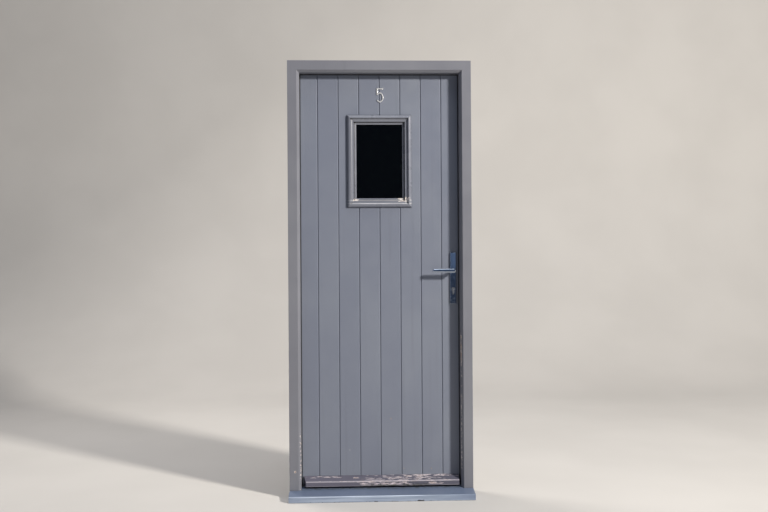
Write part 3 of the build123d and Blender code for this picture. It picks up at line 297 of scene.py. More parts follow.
@dataclass(frozen=True)
class BrushedPaint:
    """Alkyd gloss brushed on planed softwood, some years old, with painted shade in joints and round
    flakes and painted highlights on some arrises.

    Attributes:
        name: The material's name.
        coat: The paint's colour where it is sound.
        faded: Its colour where rain and sun have dulled it.
        worn_highlight_colour: Its colour on arrises that weather has worn pale, and of painted
            highlights and painted light.
        primer: The undercoat that shows round a flake.
        timber: The bare wood's early growth.
        timber_dark: The bare wood's late growth.
        grime_and_shade: The soiling in joints and in the runs of rain, and the colour of the painted
            shade in joints and round flakes.
        damp: The green film of damp places, also the tint of the painted shade on the sill's back.
        run: The way of the grain and the brush marks.
        gloss: The shader's roughness where the paint is sound.
        gloss_spread: How far that falls and rises from place to place.
        gloss_mm: The size of those places.
        gloss_band: The part of their pattern over which it changes.
        cloud_mm: The size of the slow changes of tone.
        cloud_band: The part of their pattern over which the paint fades.
        streak_mm: The width of a run of rain.
        streak_band: The part of its pattern over which it darkens.
        streak_level: How dark the runs of rain are.
        crevice_shade_mm: How far from a groove or corner its painted shade and soiling reach.
        crevice_shade_full: The open share of the sky at which that painted shade and soiling are full.
        crevice_shade_level: How dark that painted shade and soiling are.
        worn_highlights: Where the paint is paler, partly from wear and partly as painted highlight and
            painted light.
        worn_highlight_band: The part of the flakes' pattern over which such a pale place grows.
        worn_highlight_least: How strong a pale place is where it is weakest.
        stains: Where damp has left a green film; on the sill's back it is also painted shade under the
            weatherboard.
        blot_mm: The size of the blots in a stain.
        blot_band: The part of their pattern over which they grow.
        flaked: Where the film has flaked to primer and timber.
        flake_mm: The size of a flake.
        flake_run: Stretch of the flakes on each axis.
        flake_rough: How much rougher a flaked place is.
        chip_mm: How far from a sharp edge its chips reach.
        chip_level: Flaking that every sharp edge adds.
        shadow_rim_band: How deep a flake goes where the painted shadow line round it begins and is full.
        shadow_rim_level: How dark that painted shadow line is.
        break_band: How deep a flake goes where the film breaks.
        bare_from: How deep a flake goes before it bares timber.
        bare_width: How much deeper it is when the timber is quite bare.
        brush_mm: The width of a brush mark.
        brush_height: Its height, as a share of the film's.
        grain_mm: The width of a growth ring.
        grain_band: The part of the rings' pattern between late and early growth.
        grain_height: The height of a ring, as a share of the film's.
        film_mm: The film's thickness, drawn thick enough to show.
        round_mm: The rounding of its edges.
    """

    name: str
    coat: str = "#6d7382"
    faded: str = "#757b88"
    worn_highlight_colour: str = "#a7b1c2"
    primer: str = "#cfc5bf"
    timber: str = "#a8907e"
    timber_dark: str = "#64534a"
    grime_and_shade: str = "#23262e"
    damp: str = "#3d4034"
    run: Run = Run.UPRIGHT
    gloss: float = 0.4
    gloss_spread: Band = (-0.05, 0.08)
    gloss_mm: float = 70.0
    gloss_band: Band = (0.3, 0.75)
    cloud_mm: float = 420.0
    cloud_band: Band = (0.3, 0.75)
    streak_mm: float = 26.0
    streak_band: Band = (0.55, 0.95)
    streak_level: float = 0.16
    crevice_shade_mm: float = 4.0
    crevice_shade_full: float = 0.35
    crevice_shade_level: float = 0.4
    worn_highlights: tuple[Patch, ...] = ()
    worn_highlight_band: Band = (0.3, 0.6)
    worn_highlight_least: float = 0.45
    stains: tuple[Patch, ...] = ()
    blot_mm: float = 16.0
    blot_band: Band = (0.4, 0.62)
    flaked: tuple[Patch, ...] = ()
    flake_mm: float = 7.0
    flake_run: Point = (1.0, 1.0, 1.0)
    flake_rough: float = 0.35
    chip_mm: float = 1.6
    chip_level: float = 0.12
    shadow_rim_band: Band = (0.76, 0.79)
    shadow_rim_level: float = 0.2
    break_band: Band = (0.80, 0.81)
    bare_from: float = 0.85
    bare_width: float = 0.02
    brush_mm: float = 1.4
    brush_height: float = 0.25
    grain_mm: float = 2.0
    grain_band: Band = (0.35, 0.6)
    grain_height: float = 0.15
    film_mm: float = 0.2
    round_mm: float = 0.7

    def film(self, s: Surface, place: Socket) -> Socket:
        """Colour of the sound film, with its slow fading, its rain runs, and the soiling and painted
        shade in its joints.

        Args:
            s: The material under construction.
            place: The object's own place.

        Returns:
            The film's colour.
        """
        # Slow change of tone, which keeps a big flat face from looking printed
        cloud = s.add(Step.CLOUD, place, per_metre(self.cloud_mm), Detail.BROKEN)
        fading = s.add(Step.EASE, cloud, *self.cloud_band)
        colour = s.add(Step.BLEND, fading, linear(self.coat), linear(self.faded))
        falling = s.add(Step.STRETCH, place, Run.UPRIGHT)
        rain = s.add(Step.CLOUD, falling, per_metre(self.streak_mm), Detail.PLAIN)
        streaks = s.add(Step.EASE, rain, *self.streak_band, 0.0, self.streak_level)
        colour = s.add(Step.BLEND, streaks, colour, linear(self.grime_and_shade))
        # Darker in grooves and corners: painted shade, with some soiling
        hollow = s.crevices(self.crevice_shade_mm, self.crevice_shade_full)
        soiling_and_shade = s.add(Step.TIMES, hollow, self.crevice_shade_level)
        colour = s.add(Step.BLEND, soiling_and_shade, colour, linear(self.grime_and_shade))
        # Pale places on arrises and faces: partly wear, partly painted highlight and painted light
        if self.worn_highlights:
            drawn = s.add(Step.STRETCH, s.place, self.run)
            patchy = s.add(Step.CLOUD, drawn, per_metre(self.flake_mm), Detail.BROKEN)
            uneven = s.add(Step.EASE, patchy, *self.worn_highlight_band, self.worn_highlight_least, 1.0)
            worn_highlight = s.add(Step.TIMES, s.patched(self.worn_highlights), uneven)
            colour = s.add(Step.BLEND, worn_highlight, colour, linear(self.worn_highlight_colour))
        if self.stains:
            blots = s.add(Step.CLOUD, s.place, per_metre(self.blot_mm), Detail.FINE)
            damp = s.add(Step.EASE, blots, *self.blot_band)
            stain = s.add(Step.TIMES, s.patched(self.stains), damp)
            colour = s.add(Step.BLEND, stain, colour, linear(self.damp))
        return colour

    def depth(self, s: Surface) -> Socket:
        """How deep the flaking goes, from a pattern of flakes that wear makes deeper.

        Args:
            s: The material under construction.

        Returns:
            The depth, on the scale of break_band and bare_from.
        """
        drawn = s.add(Step.STRETCH, s.place, self.flake_run)
        flakes = s.add(Step.CLOUD, drawn, per_metre(self.flake_mm), Detail.FRAYED)
        wear = s.add(Step.TIMES, s.edges(self.chip_mm), self.chip_level)
        if self.flaked:
            wear = s.add(Step.PLUS, wear, s.patched(self.flaked))
        return s.add(Step.PLUS, flakes, wear)

    def build(self) -> bpy.types.Material:
        """Build the paint over its timber.

        Returns:
            The finished material.
        """
        s = Surface(self.name)
        own_place = s.own_place()
        drawn = s.add(Step.STRETCH, own_place, self.run)
        colour = self.film(s, own_place)

        # The film breaks at sharp edges and at the places named, first to primer and then to timber
        depth = self.depth(s)
        # A dark line round each flake: painted shadow of the broken film's edge
        rim = s.add(Step.TIMES, s.add(Step.EASE, depth, *self.shadow_rim_band), self.shadow_rim_level)
        colour = s.add(Step.BLEND, rim, colour, linear(self.grime_and_shade))
        broken = s.add(Step.EASE, depth, *self.break_band)
        colour = s.add(Step.BLEND, broken, colour, linear(self.primer))
        grain = s.add(Step.CLOUD, drawn, per_metre(self.grain_mm), Detail.FINE)
        early = s.add(Step.EASE, grain, *self.grain_band)
        wood = s.add(Step.BLEND, early, linear(self.timber_dark), linear(self.timber))
        bare = s.add(Step.EASE, depth, self.bare_from, self.bare_from + self.bare_width)
        colour = s.add(Step.BLEND, bare, colour, wood)

        # Brush marks that catch the light a little, and the step down where the film is gone
        marks = s.add(Step.CLOUD, drawn, per_metre(self.brush_mm), Detail.SMOOTH)
        marks = s.add(Step.TIMES, marks, self.brush_height)
        height = s.add(Step.PLUS, marks, s.add(Step.TIMES, grain, self.grain_height))
        height = s.add(Step.MINUS, height, broken)
        worn = s.add(Step.CLOUD, own_place, per_metre(self.gloss_mm), Detail.BROKEN)
        least, most = (self.gloss + change for change in self.gloss_spread)
        rough = s.add(Step.EASE, worn, *self.gloss_band, least, most)
        rough = s.add(Step.PLUS, rough, s.add(Step.TIMES, broken, self.flake_rough))
        normal = s.relief(height, self.film_mm, self.round_mm)
        return s.set(Base_Color=colour, Roughness=rough, IOR=COMMON_IOR, Normal=normal)


@dataclass(frozen=True)
class PlanedTimber:
    """Planed softwood of the core, painted only on the edges that show.

    Attributes:
        name: The material's name.
        painted_from: Distance from the leaf's middle, in metres, where the painted edge begins.
        paint_line_mm: The width over which the paint begins.
        early: The wood's early growth.
        late: Its late growth.
        coat: The paint on the edge.
        ring_mm: The width of a growth ring.
        ring_band: The part of the rings' pattern between early and late growth.
        ring_depth_mm: The relief that planing leaves.
        wood_rough: The shader's roughness on bare wood.
        coat_rough: The same on the painted edge.
        round_mm: The rounding of its edges.
    """

    name: str
    painted_from: float
    paint_line_mm: float = 0.1
    early: str = "#c9a878"
    late: str = "#8f6a42"
    coat: str = BrushedPaint.coat
    ring_mm: float = 5.0
    ring_band: Band = (0.4, 0.6)
    ring_depth_mm: float = 0.1
    wood_rough: float = 0.65
    coat_rough: float = 0.42
    round_mm: float = 0.5

    def build(self) -> bpy.types.Material:
        """Build the timber with its painted edge.

        Returns:
            The finished material.
        """
        s = Surface(self.name)
        drawn = s.add(Step.STRETCH, s.place, Run.UPRIGHT)
        grain = s.add(Step.CLOUD, drawn, per_metre(self.ring_mm), Detail.BROKEN)
        late = s.add(Step.EASE, grain, *self.ring_band)
        wood = s.add(Step.BLEND, late, linear(self.early), linear(self.late))
        across = s.add(Step.X, s.add(Step.EACH_SIZE, s.place))
        begin = self.painted_from - self.paint_line_mm * MM
        painted = s.add(Step.EASE, across, begin, self.painted_from)
        colour = s.add(Step.BLEND, painted, wood, linear(self.coat))
        rough = s.add(Step.EASE, painted, 0.0, 1.0, self.wood_rough, self.coat_rough)
        normal = s.relief(grain, self.ring_depth_mm, self.round_mm)
        return s.set(Base_Color=colour, Roughness=rough, IOR=COMMON_IOR, Normal=normal)


@dataclass(frozen=True)
class PlatedChrome:
    """Chrome plate over polished zinc casting, mirror bright with soft smears of hands.

    Attributes:
        name: The material's name.
        colour: The plate's colour.
        smear_mm: The size of a smear.
        smear_band: The part of the smears' pattern over which they grow.
        gloss: The shader's roughness where it is clean and where it is smeared.
        wave_mm: The length of the waves that polishing leaves.
        wave_depth_mm: Their depth, which breaks the reflections a little.
        round_mm: The rounding of its edges.
    """

    name: str = "polished_chrome_plate"
    colour: str = "#b9c1cd"
    smear_mm: float = 14.0
    smear_band: Band = (0.42, 0.72)
    gloss: Band = (0.05, 0.12)
    wave_mm: float = 9.6
    wave_depth_mm: float = 0.012
    round_mm: float = 1.0

    def build(self) -> bpy.types.Material:
        """Build the plate.

        Returns:
            The finished material.
        """
        s = Surface(self.name)
        smears = s.add(Step.CLOUD, s.place, per_metre(self.smear_mm), Detail.FINE)
        rough = s.add(Step.EASE, smears, *self.smear_band, *self.gloss)
        waves = s.add(Step.CLOUD, s.place, per_metre(self.wave_mm), Detail.SMOOTH)
        normal = s.relief(waves, self.wave_depth_mm, self.round_mm)
        return s.set(Base_Color=linear(self.colour), Metallic=1.0, Roughness=rough, Normal=normal)


@dataclass(frozen=True)
class WorkedMetal:
    """A plain metal with the marks of its making, such as drawn, machined or zinc plated.

    Attributes:
        name: The material's name.
        colour: Its clean colour.
        dull: Its colour where it has tarnished.
        roughness: The shader's roughness about its marks.
        rough_spread: How far that falls and rises with the marks.
        tarnish_mm: The size of a tarnished place.
        tarnish_band: The part of its pattern over which the metal dulls.
        mark_mm: The width of its drawing or turning marks, drawn coarse enough to show.
        mark_band: The part of their pattern over which the roughness changes.
        mark_depth_mm: Their depth, drawn deep enough to show.
        run: The way that the marks run.
        round_mm: The rounding of its edges.
    """

    name: str
    colour: str
    dull: str
    roughness: float
    rough_spread: Band = (-0.06, 0.08)
    tarnish_mm: float = 18.0
    tarnish_band: Band = (0.4, 0.75)
    mark_mm: float = 0.8
    mark_band: Band = (0.3, 0.7)
    mark_depth_mm: float = 0.03
    run: Run = Run.UPRIGHT
    round_mm: float = 0.35

    def build(self) -> bpy.types.Material:
        """Build the metal with fine marks along its run and patches of tarnish.

        Returns:
            The finished material.
        """
        s = Surface(self.name)
        tarnish = s.add(Step.CLOUD, s.place, per_metre(self.tarnish_mm), Detail.FINE)
        tarnish = s.add(Step.EASE, tarnish, *self.tarnish_band)
        colour = s.add(Step.BLEND, tarnish, linear(self.colour), linear(self.dull))
        drawn = s.add(Step.STRETCH, s.place, self.run)
        marks = s.add(Step.CLOUD, drawn, per_metre(self.mark_mm), Detail.SMOOTH)
        least, most = (self.roughness + change for change in self.rough_spread)
        rough = s.add(Step.EASE, marks, *self.mark_band, least, most)
        normal = s.relief(marks, self.mark_depth_mm, self.round_mm)
        return s.set(Base_Color=colour, Metallic=1.0, Roughness=rough, Normal=normal)


@dataclass(frozen=True)
class PolishedNumeral:
    """Polished cast zinc with rounded edges, so that each stroke has a bright and a dark side.

    Attributes:
        name: The material's name.
        colour: Its clean colour.
        dull: Its colour where a film has settled.
        film_mm: The size of the places with a film.
        dull_band: The part of the film's pattern over which the colour changes.
        gloss_band: The part over which the roughness does.
        gloss: The shader's roughness where it is clean and where it is dull.
        metallic: The shader's metallic value, lowered by the film.
        skin_mm: The size of the casting's grain, drawn coarse enough to show.
        skin_depth_mm: The depth of that grain.
        round_mm: The rounding of its edges.
    """

    name: str = "polished_cast_zinc"
    colour: str = "#f0f1f3"
    dull: str = "#d3d6da"
    film_mm: float = 9.0
    dull_band: Band = (0.35, 0.75)
    gloss_band: Band = (0.3, 0.75)
    gloss: Band = (0.28, 0.4)
    metallic: float = 0.65
    skin_mm: float = 1.1
    skin_depth_mm: float = 0.03
    round_mm: float = 2.6

    def build(self) -> bpy.types.Material:
        """Build the casting.

        Returns:
            The finished material.
        """
        s = Surface(self.name)
        film = s.add(Step.CLOUD, s.place, per_metre(self.film_mm), Detail.BROKEN)
        dulled = s.add(Step.EASE, film, *self.dull_band)
        colour = s.add(Step.BLEND, dulled, linear(self.colour), linear(self.dull))
        rough = s.add(Step.EASE, film, *self.gloss_band, *self.gloss)
        skin = s.add(Step.CLOUD, s.place, per_metre(self.skin_mm), Detail.PLAIN)
        normal = s.relief(skin, self.skin_depth_mm, self.round_mm)
        return s.set(Base_Color=colour, Metallic=self.metallic, Roughness=rough, Normal=normal)


@dataclass(frozen=True)
class ExtrudedRubber:
    """Black EPDM seal, matt from the die, with a bloom of dust.

    Attributes:
        name: The material's name.
        colour: The rubber's colour, made blacker than the rubber as painted shade in the seam.
        dust: Its colour under dust, darkened the same way as painted shade.
        dust_mm: The size of a dusty place.
        dust_band: The part of the dust's pattern over which it grows.
        roughness: The shader's roughness.
        skin_mm: The size of the grain that the die leaves, drawn coarse enough to show.
        skin_depth_mm: The depth of that grain.
        round_mm: The rounding of its edges.
    """

    name: str = "extruded_black_rubber"
    # Black rubber, made darker still as painted shade in the seam round the leaf
    colour: str = "#0c0d10"
    dust: str = "#232529"
    dust_mm: float = 40.0
    dust_band: Band = (0.45, 0.8)
    roughness: float = 0.75
    skin_mm: float = 1.2
    skin_depth_mm: float = 0.05
    round_mm: float = 0.5

    def build(self) -> bpy.types.Material:
        """Build the seal.

        Returns:
            The finished material.
        """
        s = Surface(self.name)
        dusty = s.add(Step.CLOUD, s.place, per_metre(self.dust_mm), Detail.FINE)
        dusty = s.add(Step.EASE, dusty, *self.dust_band)
        colour = s.add(Step.BLEND, dusty, linear(self.colour), linear(self.dust))
        skin = s.add(Step.CLOUD, s.place, per_metre(self.skin_mm), Detail.PLAIN)
        normal = s.relief(skin, self.skin_depth_mm, self.round_mm)
        return s.set(Base_Color=colour, Roughness=self.roughness, IOR=COMMON_IOR, Normal=normal)


@dataclass(frozen=True)
class FloatGlass:
    """Float glass, flat and clear under a film of dust, whose near black colour is painted shade, so
    that it reads near black from outside.

    Attributes:
        name: The material's name.
        tint: The colour that light keeps on its way through, near black as painted shade.
        film_mm: The size of a dusty place.
        film_band: The part of the dust's pattern over which it grows.
        gloss: The shader's roughness where it is clean and where it is dusty.
        ior: The glass's index of refraction.
    """

    name: str = "float_glass_with_painted_shade"
    tint: str = "#2c3332"
    film_mm: float = 55.0
    film_band: Band = (0.45, 0.8)
    gloss: Band = (0.015, 0.09)
    ior: float = 1.52

    def build(self) -> bpy.types.Material:
        """Build the pane.

        Returns:
            The finished material.
        """
        s = Surface(self.name)
        film = s.add(Step.CLOUD, s.place, per_metre(self.film_mm), Detail.FRAYED)
        rough = s.add(Step.EASE, film, *self.film_band, *self.gloss)
        # The near black colour through both panes is painted shade in the opening
        tint = linear(self.tint)
        return s.set(Base_Color=tint, Roughness=rough, IOR=self.ior, Transmission_Weight=1.0)


@dataclass(frozen=True)
class RigidFoam:
    """Cut polyurethane foam board, straw coloured and finely celled.

    Attributes:
        name: The material's name.
        pale: The colour of a cell's rim.
        deep: The colour inside a cell.
        cell_mm: The size of a cell, drawn coarse enough to show.
        cell_band: The part of the cells' pattern between rim and inside.
        cell_depth_mm: The depth of a cut cell.
        roughness: The shader's roughness.
        ior: The foam's index of refraction.
        round_mm: The rounding of its edges.
    """

    name: str = "cut_foam_board"
    pale: str = "#d8cda6"
    deep: str = "#c2b284"
    cell_mm: float = 1.5
    cell_band: Band = (0.3, 0.7)
    cell_depth_mm: float = 0.2
    roughness: float = 0.9
    ior: float = 1.4
    round_mm: float = 0.4

    def build(self) -> bpy.types.Material:
        """Build the foam.

        Returns:
            The finished material.
        """
        s = Surface(self.name)
        cells = s.add(Step.CLOUD, s.place, per_metre(self.cell_mm), Detail.SMOOTH)
        inside = s.add(Step.EASE, cells, *self.cell_band)
        colour = s.add(Step.BLEND, inside, linear(self.pale), linear(self.deep))
        normal = s.relief(cells, self.cell_depth_mm, self.round_mm)
        return s.set(Base_Color=colour, Roughness=self.roughness, IOR=self.ior, Normal=normal)


@dataclass(frozen=True)
class StudioPaper:
    """Pale matt paper of the studio's floor and backdrop, with slow changes of tone.

    Attributes:
        name: The material's name.
        deep: The deeper tone.
        pale: The paler one.
        tone_mm: The size of the changes between them.
        tone_band: The part of their pattern over which the tone changes.
        roughness: The shader's roughness.
    """

    name: str = "pale_studio_paper"
    deep: str = "#c8c6c3"
    pale: str = "#cdcbc8"
    tone_mm: float = 900.0
    tone_band: Band = (0.3, 0.7)
    roughness: float = 0.9

    def build(self) -> bpy.types.Material:
        """Build the paper.

        Returns:
            The finished material.
        """
        s = Surface(self.name)
        tone = s.add(Step.CLOUD, s.place, per_metre(self.tone_mm), Detail.PLAIN)
        tone = s.add(Step.EASE, tone, *self.tone_band)
        colour = s.add(Step.BLEND, tone, linear(self.deep), linear(self.pale))
        return s.set(Base_Color=colour, Roughness=self.roughness)


def dress(names: list[str], material: bpy.types.Material) -> None:
    """Give a finish to CAD nodes.

    Args:
        names: The nodes.
        material: The finish for every slot of theirs.
    """
    for name in names:
        for mesh_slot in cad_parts[name].material_slots:
            mesh_slot.material = material
    log.info("%s on %s", material.name, ", ".join(names))


def box_round(places: Iterable[Point]) -> tuple[Vector, Vector]:
    """Lowest and highest corner of the box round some places."""
    axes = list(zip(*places))
    return Vector([min(axis) for axis in axes]), Vector([max(axis) for axis in axes])


def node_box(name: str) -> tuple[Vector, Vector]:
    """Lowest and highest corner of one CAD node at rest, in the frame's metres."""
    return box_round(v.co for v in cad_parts[name].data.vertices)


def solids(name: str) -> list[tuple[Vector, Vector]]:
    """Boxes of the separate solids in one CAD node.

    Args:
        name: The node.

    Returns:
        The lowest and highest corner of each solid, from the left, front and bottom first.
    """
    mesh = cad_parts[name].data
    keys = [tuple(round(c, SAME_CORNER) for c in v.co) for v in mesh.vertices]
    parent: dict[Point, Point] = {key: key for key in keys}

    def root(key: Point) -> Point:
        """Follow a corner to the one that stands for its solid.

        Args:
            key: The corner.

        Returns:
            The corner that stands for its solid.
        """
        while parent[key] != key:
            parent[key] = parent[parent[key]]
            key = parent[key]
        return key

    for polygon in mesh.polygons:
        first = root(keys[polygon.vertices[0]])
        for index in polygon.vertices[1:]:
            parent[root(keys[index])] = first
    groups: dict[Point, list[Point]] = {}
    for key in parent:
        groups.setdefault(root(key), []).append(key)
    boxes = [box_round(corners) for corners in groups.values()]
    return sorted(boxes, key=lambda box: tuple(round(c, IN_LINE) for c in box[0]))


def add_piece(
    name: str, mesh: bmesh.types.BMesh, material: bpy.types.Material, body: str
) -> bpy.types.Object:
    """Add a piece of the scene's own that rides on a body.

    Args:
        name: The piece's name.
        mesh: Its shape in the frame's metres. It is freed here.
        material: Its finish.
        body: The CAD body that carries it.

    Returns:
        The new object.
    """
    data = bpy.data.meshes.new(name)
    mesh.normal_update()
    mesh.to_mesh(data)
    mesh.free()
    data.materials.append(material)
    piece = bpy.data.objects.new(name, data)
    bpy.context.scene.collection.objects.link(piece)
    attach(piece, body)
    log.info("%s, %d faces, on %s", name, len(data.polygons), body)
    return piece


@dataclass
class FrameAssembly:
    """Jambs, head, sill, threshold bar and seal, which stay still.

    Attributes:
        coat: The frame's paint colour.
        faded: The same where it has dulled.
        arris_inset: How far the chamfered arris of a jamb lies inside its face to the leaf, in metres.
        arris_back: How far its worn part lies behind the jamb's front, in metres.
        nose_inset: How far the pale line of the sill's nose, worn and partly a painted highlight, lies
            behind its front, in metres.
        nose_z: Height of the nose's upper arris, in metres.
        arris_x: Distance of the jambs' arrises from the middle, in metres.
        arris_y: Place of the arrises, in metres.
        nose_y: Place of the sill's nose, in metres.
    """

    coat: str = "#6d6f78"
    faded: str = "#777981"
    arris_inset: float = 0.001
    arris_back: float = 0.008
    nose_inset: float = 0.0015
    nose_z: float = 0.0275
    arris_x: float = field(init=False)
    arris_y: float = field(init=False)
    nose_y: float = field(init=False)

    def __post_init__(self) -> None:
        """Take the places of its worn edges from the frame."""
        jamb, _ = node_box("lock_jamb")
        sill, _ = node_box("sill")
        self.arris_x = jamb.x + self.arris_inset
        self.arris_y = jamb.y + self.arris_back
        self.nose_y = sill.y + self.nose_inset

    def jamb_flakes(self) -> tuple[Patch, ...]:
        """Flaked arris of the lock jamb's lower half, and chips low on the other jamb.

        Returns:
            The patches.
        """
        return (
            Patch((self.arris_x, self.arris_y, 0.69), (0.006, 0.012, 0.17), 0.36),
            Patch((self.arris_x, self.arris_y, 0.35), (0.006, 0.012, 0.26), 0.29),
            Patch((-0.421, 0.0, 0.13), (0.006, 0.01, 0.007), 0.45),
            Patch((-self.arris_x, self.arris_y, 0.2), (0.006, 0.012, 0.18), 0.25),
        )

    def sill_worn_highlights(self) -> tuple[Patch, ...]:
        """Pale line along the nose's upper arris, partly wear and partly a painted highlight, and the
        paler front under it, painted light on that face.

        Returns:
            The patches.
        """
        return (
            Patch((0.0, self.nose_y, self.nose_z), (0.60, 0.004, 0.004), 0.95),
            Patch((0.0, self.nose_y, 0.012), (0.60, 0.004, 0.022), 0.45),
        )

    def sill_flakes(self) -> tuple[Patch, ...]:
        """Scuffed lower edge of the nose, and notches in the middle and near its right end.

        Returns:
            The patches.
        """
        return (
            Patch((0.0, self.nose_y, 0.0), (0.47, 0.01, 0.005), 0.22),
            Patch((0.185, self.nose_y, 0.0), (0.022, 0.01, 0.010), 0.60),
            Patch((-0.03, self.nose_y, 0.0), (0.010, 0.01, 0.006), 0.50),
        )

    def dress(self) -> None:
        """Give each part of the frame its finish."""
        jambs = BrushedPaint(
            "gloss_paint_on_jambs",
            coat=self.coat,
            faded=self.faded,
            primer="#d8cfcb",
            bare_from=0.9,
            flaked=self.jamb_flakes(),
        )
        dress(["hinge_jamb", "lock_jamb"], jambs.build())
        head = BrushedPaint("gloss_paint_on_head", coat=self.coat, faded=self.faded, run=Run.ACROSS)
        dress(["head"], head.build())
        # The notches show old dark wood, with no pale primer round them
        sill = BrushedPaint(
            "gloss_paint_on_sill",
            coat="#647188",
            faded="#6d7a92",
            worn_highlight_colour="#c3d0e2",
            primer="#535b6b",
            timber="#34363b",
            timber_dark="#16171a",
            run=Run.ACROSS,
            gloss=0.34,
            worn_highlights=self.sill_worn_highlights(),
            flaked=self.sill_flakes(),
            # Dark green blotches on the sill's back under the weatherboard: partly a green film, partly
            # painted shade
            stains=(Patch((0.0, 0.03, 0.04), (0.5, 0.03, 0.02), 0.5),),
        )
        dress(["sill"], sill.build())
        dress(["frame_seal"], ExtrudedRubber().build())
        bar = WorkedMetal("drawn_aluminium", "#b9bcc0", "#8d9094", 0.34, run=Run.ACROSS)
        dress(["threshold_bar"], bar.build())


@dataclass
class LeafAssembly:
    """Boards, core, weatherboard and numeral, which swing together.

    Attributes:
        board_count: How many boards the outer face has.
        nose_inset: How far the pale line of the weatherboard's nose, worn and partly a painted
            highlight, lies behind its front, in metres.
        nose_rise: Height of that line over the weatherboard's foot, in metres.
        front_rise: Height of the middle of its front over its foot, in metres.
        foot_rise: Height of the worn line along its foot, in metres over the foot.
        edge_x: Half the leaf's width, in metres.
        front_y: Place of the boards' outer face, in metres.
        nose_y: Place of the weatherboard's nose, in metres.
        foot_z: Height of its foot, in metres.
    """

    board_count: int = 8
    nose_inset: float = 0.0015
    nose_rise: float = 0.0227
    front_rise: float = 0.0122
    foot_rise: float = 0.0007
    edge_x: float = field(init=False)
    front_y: float = field(init=False)
    nose_y: float = field(init=False)
    foot_z: float = field(init=False)

    def __post_init__(self) -> None:
        """Take the places of its faces and worn edges from the frame."""
        _, stile = node_box("stile_lock")
        board, _ = node_box("outer_board_1")
        weatherboard, _ = node_box("weatherboard")
        self.edge_x = stile.x
        self.front_y = board.y
        self.nose_y = weatherboard.y + self.nose_inset
        self.foot_z = weatherboard.z

    def board_flakes(self) -> tuple[Patch, ...]:
        """Chips low on the boards.

        Returns:
            The patches.
        """
        # Each chip's place across, its height and half its size
        chips = (
            (0.050, 0.371, 0.0046),
            (-0.153, 0.220, 0.0036),
            (0.113, 0.126, 0.005),
            (0.25, 0.123, 0.005),
        )
        return tuple(Patch((x, self.front_y, z), (size, 0.01, size), 0.36) for x, z, size in chips)

    def weather_flakes(self) -> tuple[Patch, ...]:
        """Flaked slope of the weatherboard, worst right of its middle, and spots on its front.

        Returns:
            The patches.
        """
        y = (self.front_y + self.nose_y) / 2
        foot, front = self.foot_z, self.foot_z + self.front_rise
        return (
            Patch((0.10, y, foot + 0.0342), (0.30, 0.04, 0.02), 0.24),
            Patch((0.15, y, foot + 0.0362), (0.19, 0.04, 0.010), 0.27),
            Patch((0.04, y, foot + 0.0272), (0.12, 0.04, 0.006), 0.28),
            Patch((-0.125, y, foot + 0.0382), (0.024, 0.02, 0.009), 0.40),
            Patch((-0.27, y, foot + 0.0382), (0.15, 0.03, 0.004), 0.33),
            Patch((0.35, y, foot + 0.0402), (0.08, 0.03, 0.005), 0.28),
            Patch((0.02, self.nose_y, front), (0.16, 0.01, 0.009), 0.29),
            Patch((0.265, self.nose_y, front), (0.05, 0.01, 0.007), 0.33),
            Patch((-0.10, self.nose_y, front), (0.03, 0.01, 0.006), 0.33),
            Patch((0.0, self.nose_y, foot + self.nose_rise), (0.40, 0.004, 0.003), 0.30),
        )

    def weather_worn_highlights(self) -> tuple[Patch, ...]:
        """Pale line along the nose, a painted highlight with some wear, and a fainter worn line along
        the foot.

        Returns:
            The patches.
        """
        return (
            Patch((0.0, self.nose_y, self.foot_z + self.nose_rise), (0.60, 0.003, 0.003), 0.9),
            Patch((0.0, self.nose_y, self.foot_z + self.foot_rise), (0.60, 0.004, 0.002), 0.4),
        )

    def dress(self) -> None:
        """Give each part of the leaf its finish."""
        boards = BrushedPaint("gloss_paint_on_boards", flaked=self.board_flakes())
        outer = [f"outer_board_{n}" for n in range(1, self.board_count + 1)]
        dress(outer + ["inner_boards"], boards.build())
        core = PlanedTimber("planed_softwood_core", self.edge_x)
        rails = ["rail_top", "rail_middle", "rail_bottom"]
        dress(["stile_hinge", "stile_lock", "light_lining"] + rails, core.build())
        dress(["insulation"], RigidFoam().build())
        weatherboard = BrushedPaint(
            "flaked_paint_on_weatherboard",
            coat="#52525f",
            faded="#62606e",
            worn_highlight_colour="#b7b3bc",
            primer="#cbc2c7",
            timber="#a8978c",
            timber_dark="#796a61",
            run=Run.ACROSS,
            gloss=0.48,
            bare_from=0.9,
            shadow_rim_level=0.55,
            flake_mm=4.6,
            flake_run=(0.14, 1.0, 1.4),
            flaked=self.weather_flakes(),
            worn_highlights=self.weather_worn_highlights(),
            stains=(Patch((0.06, self.nose_y, self.foot_z + self.foot_rise), (0.17, 0.01, 0.008), 0.8),),
        )
        dress(["weatherboard"], weatherboard.build())
        dress(["house_number"], PolishedNumeral().build())


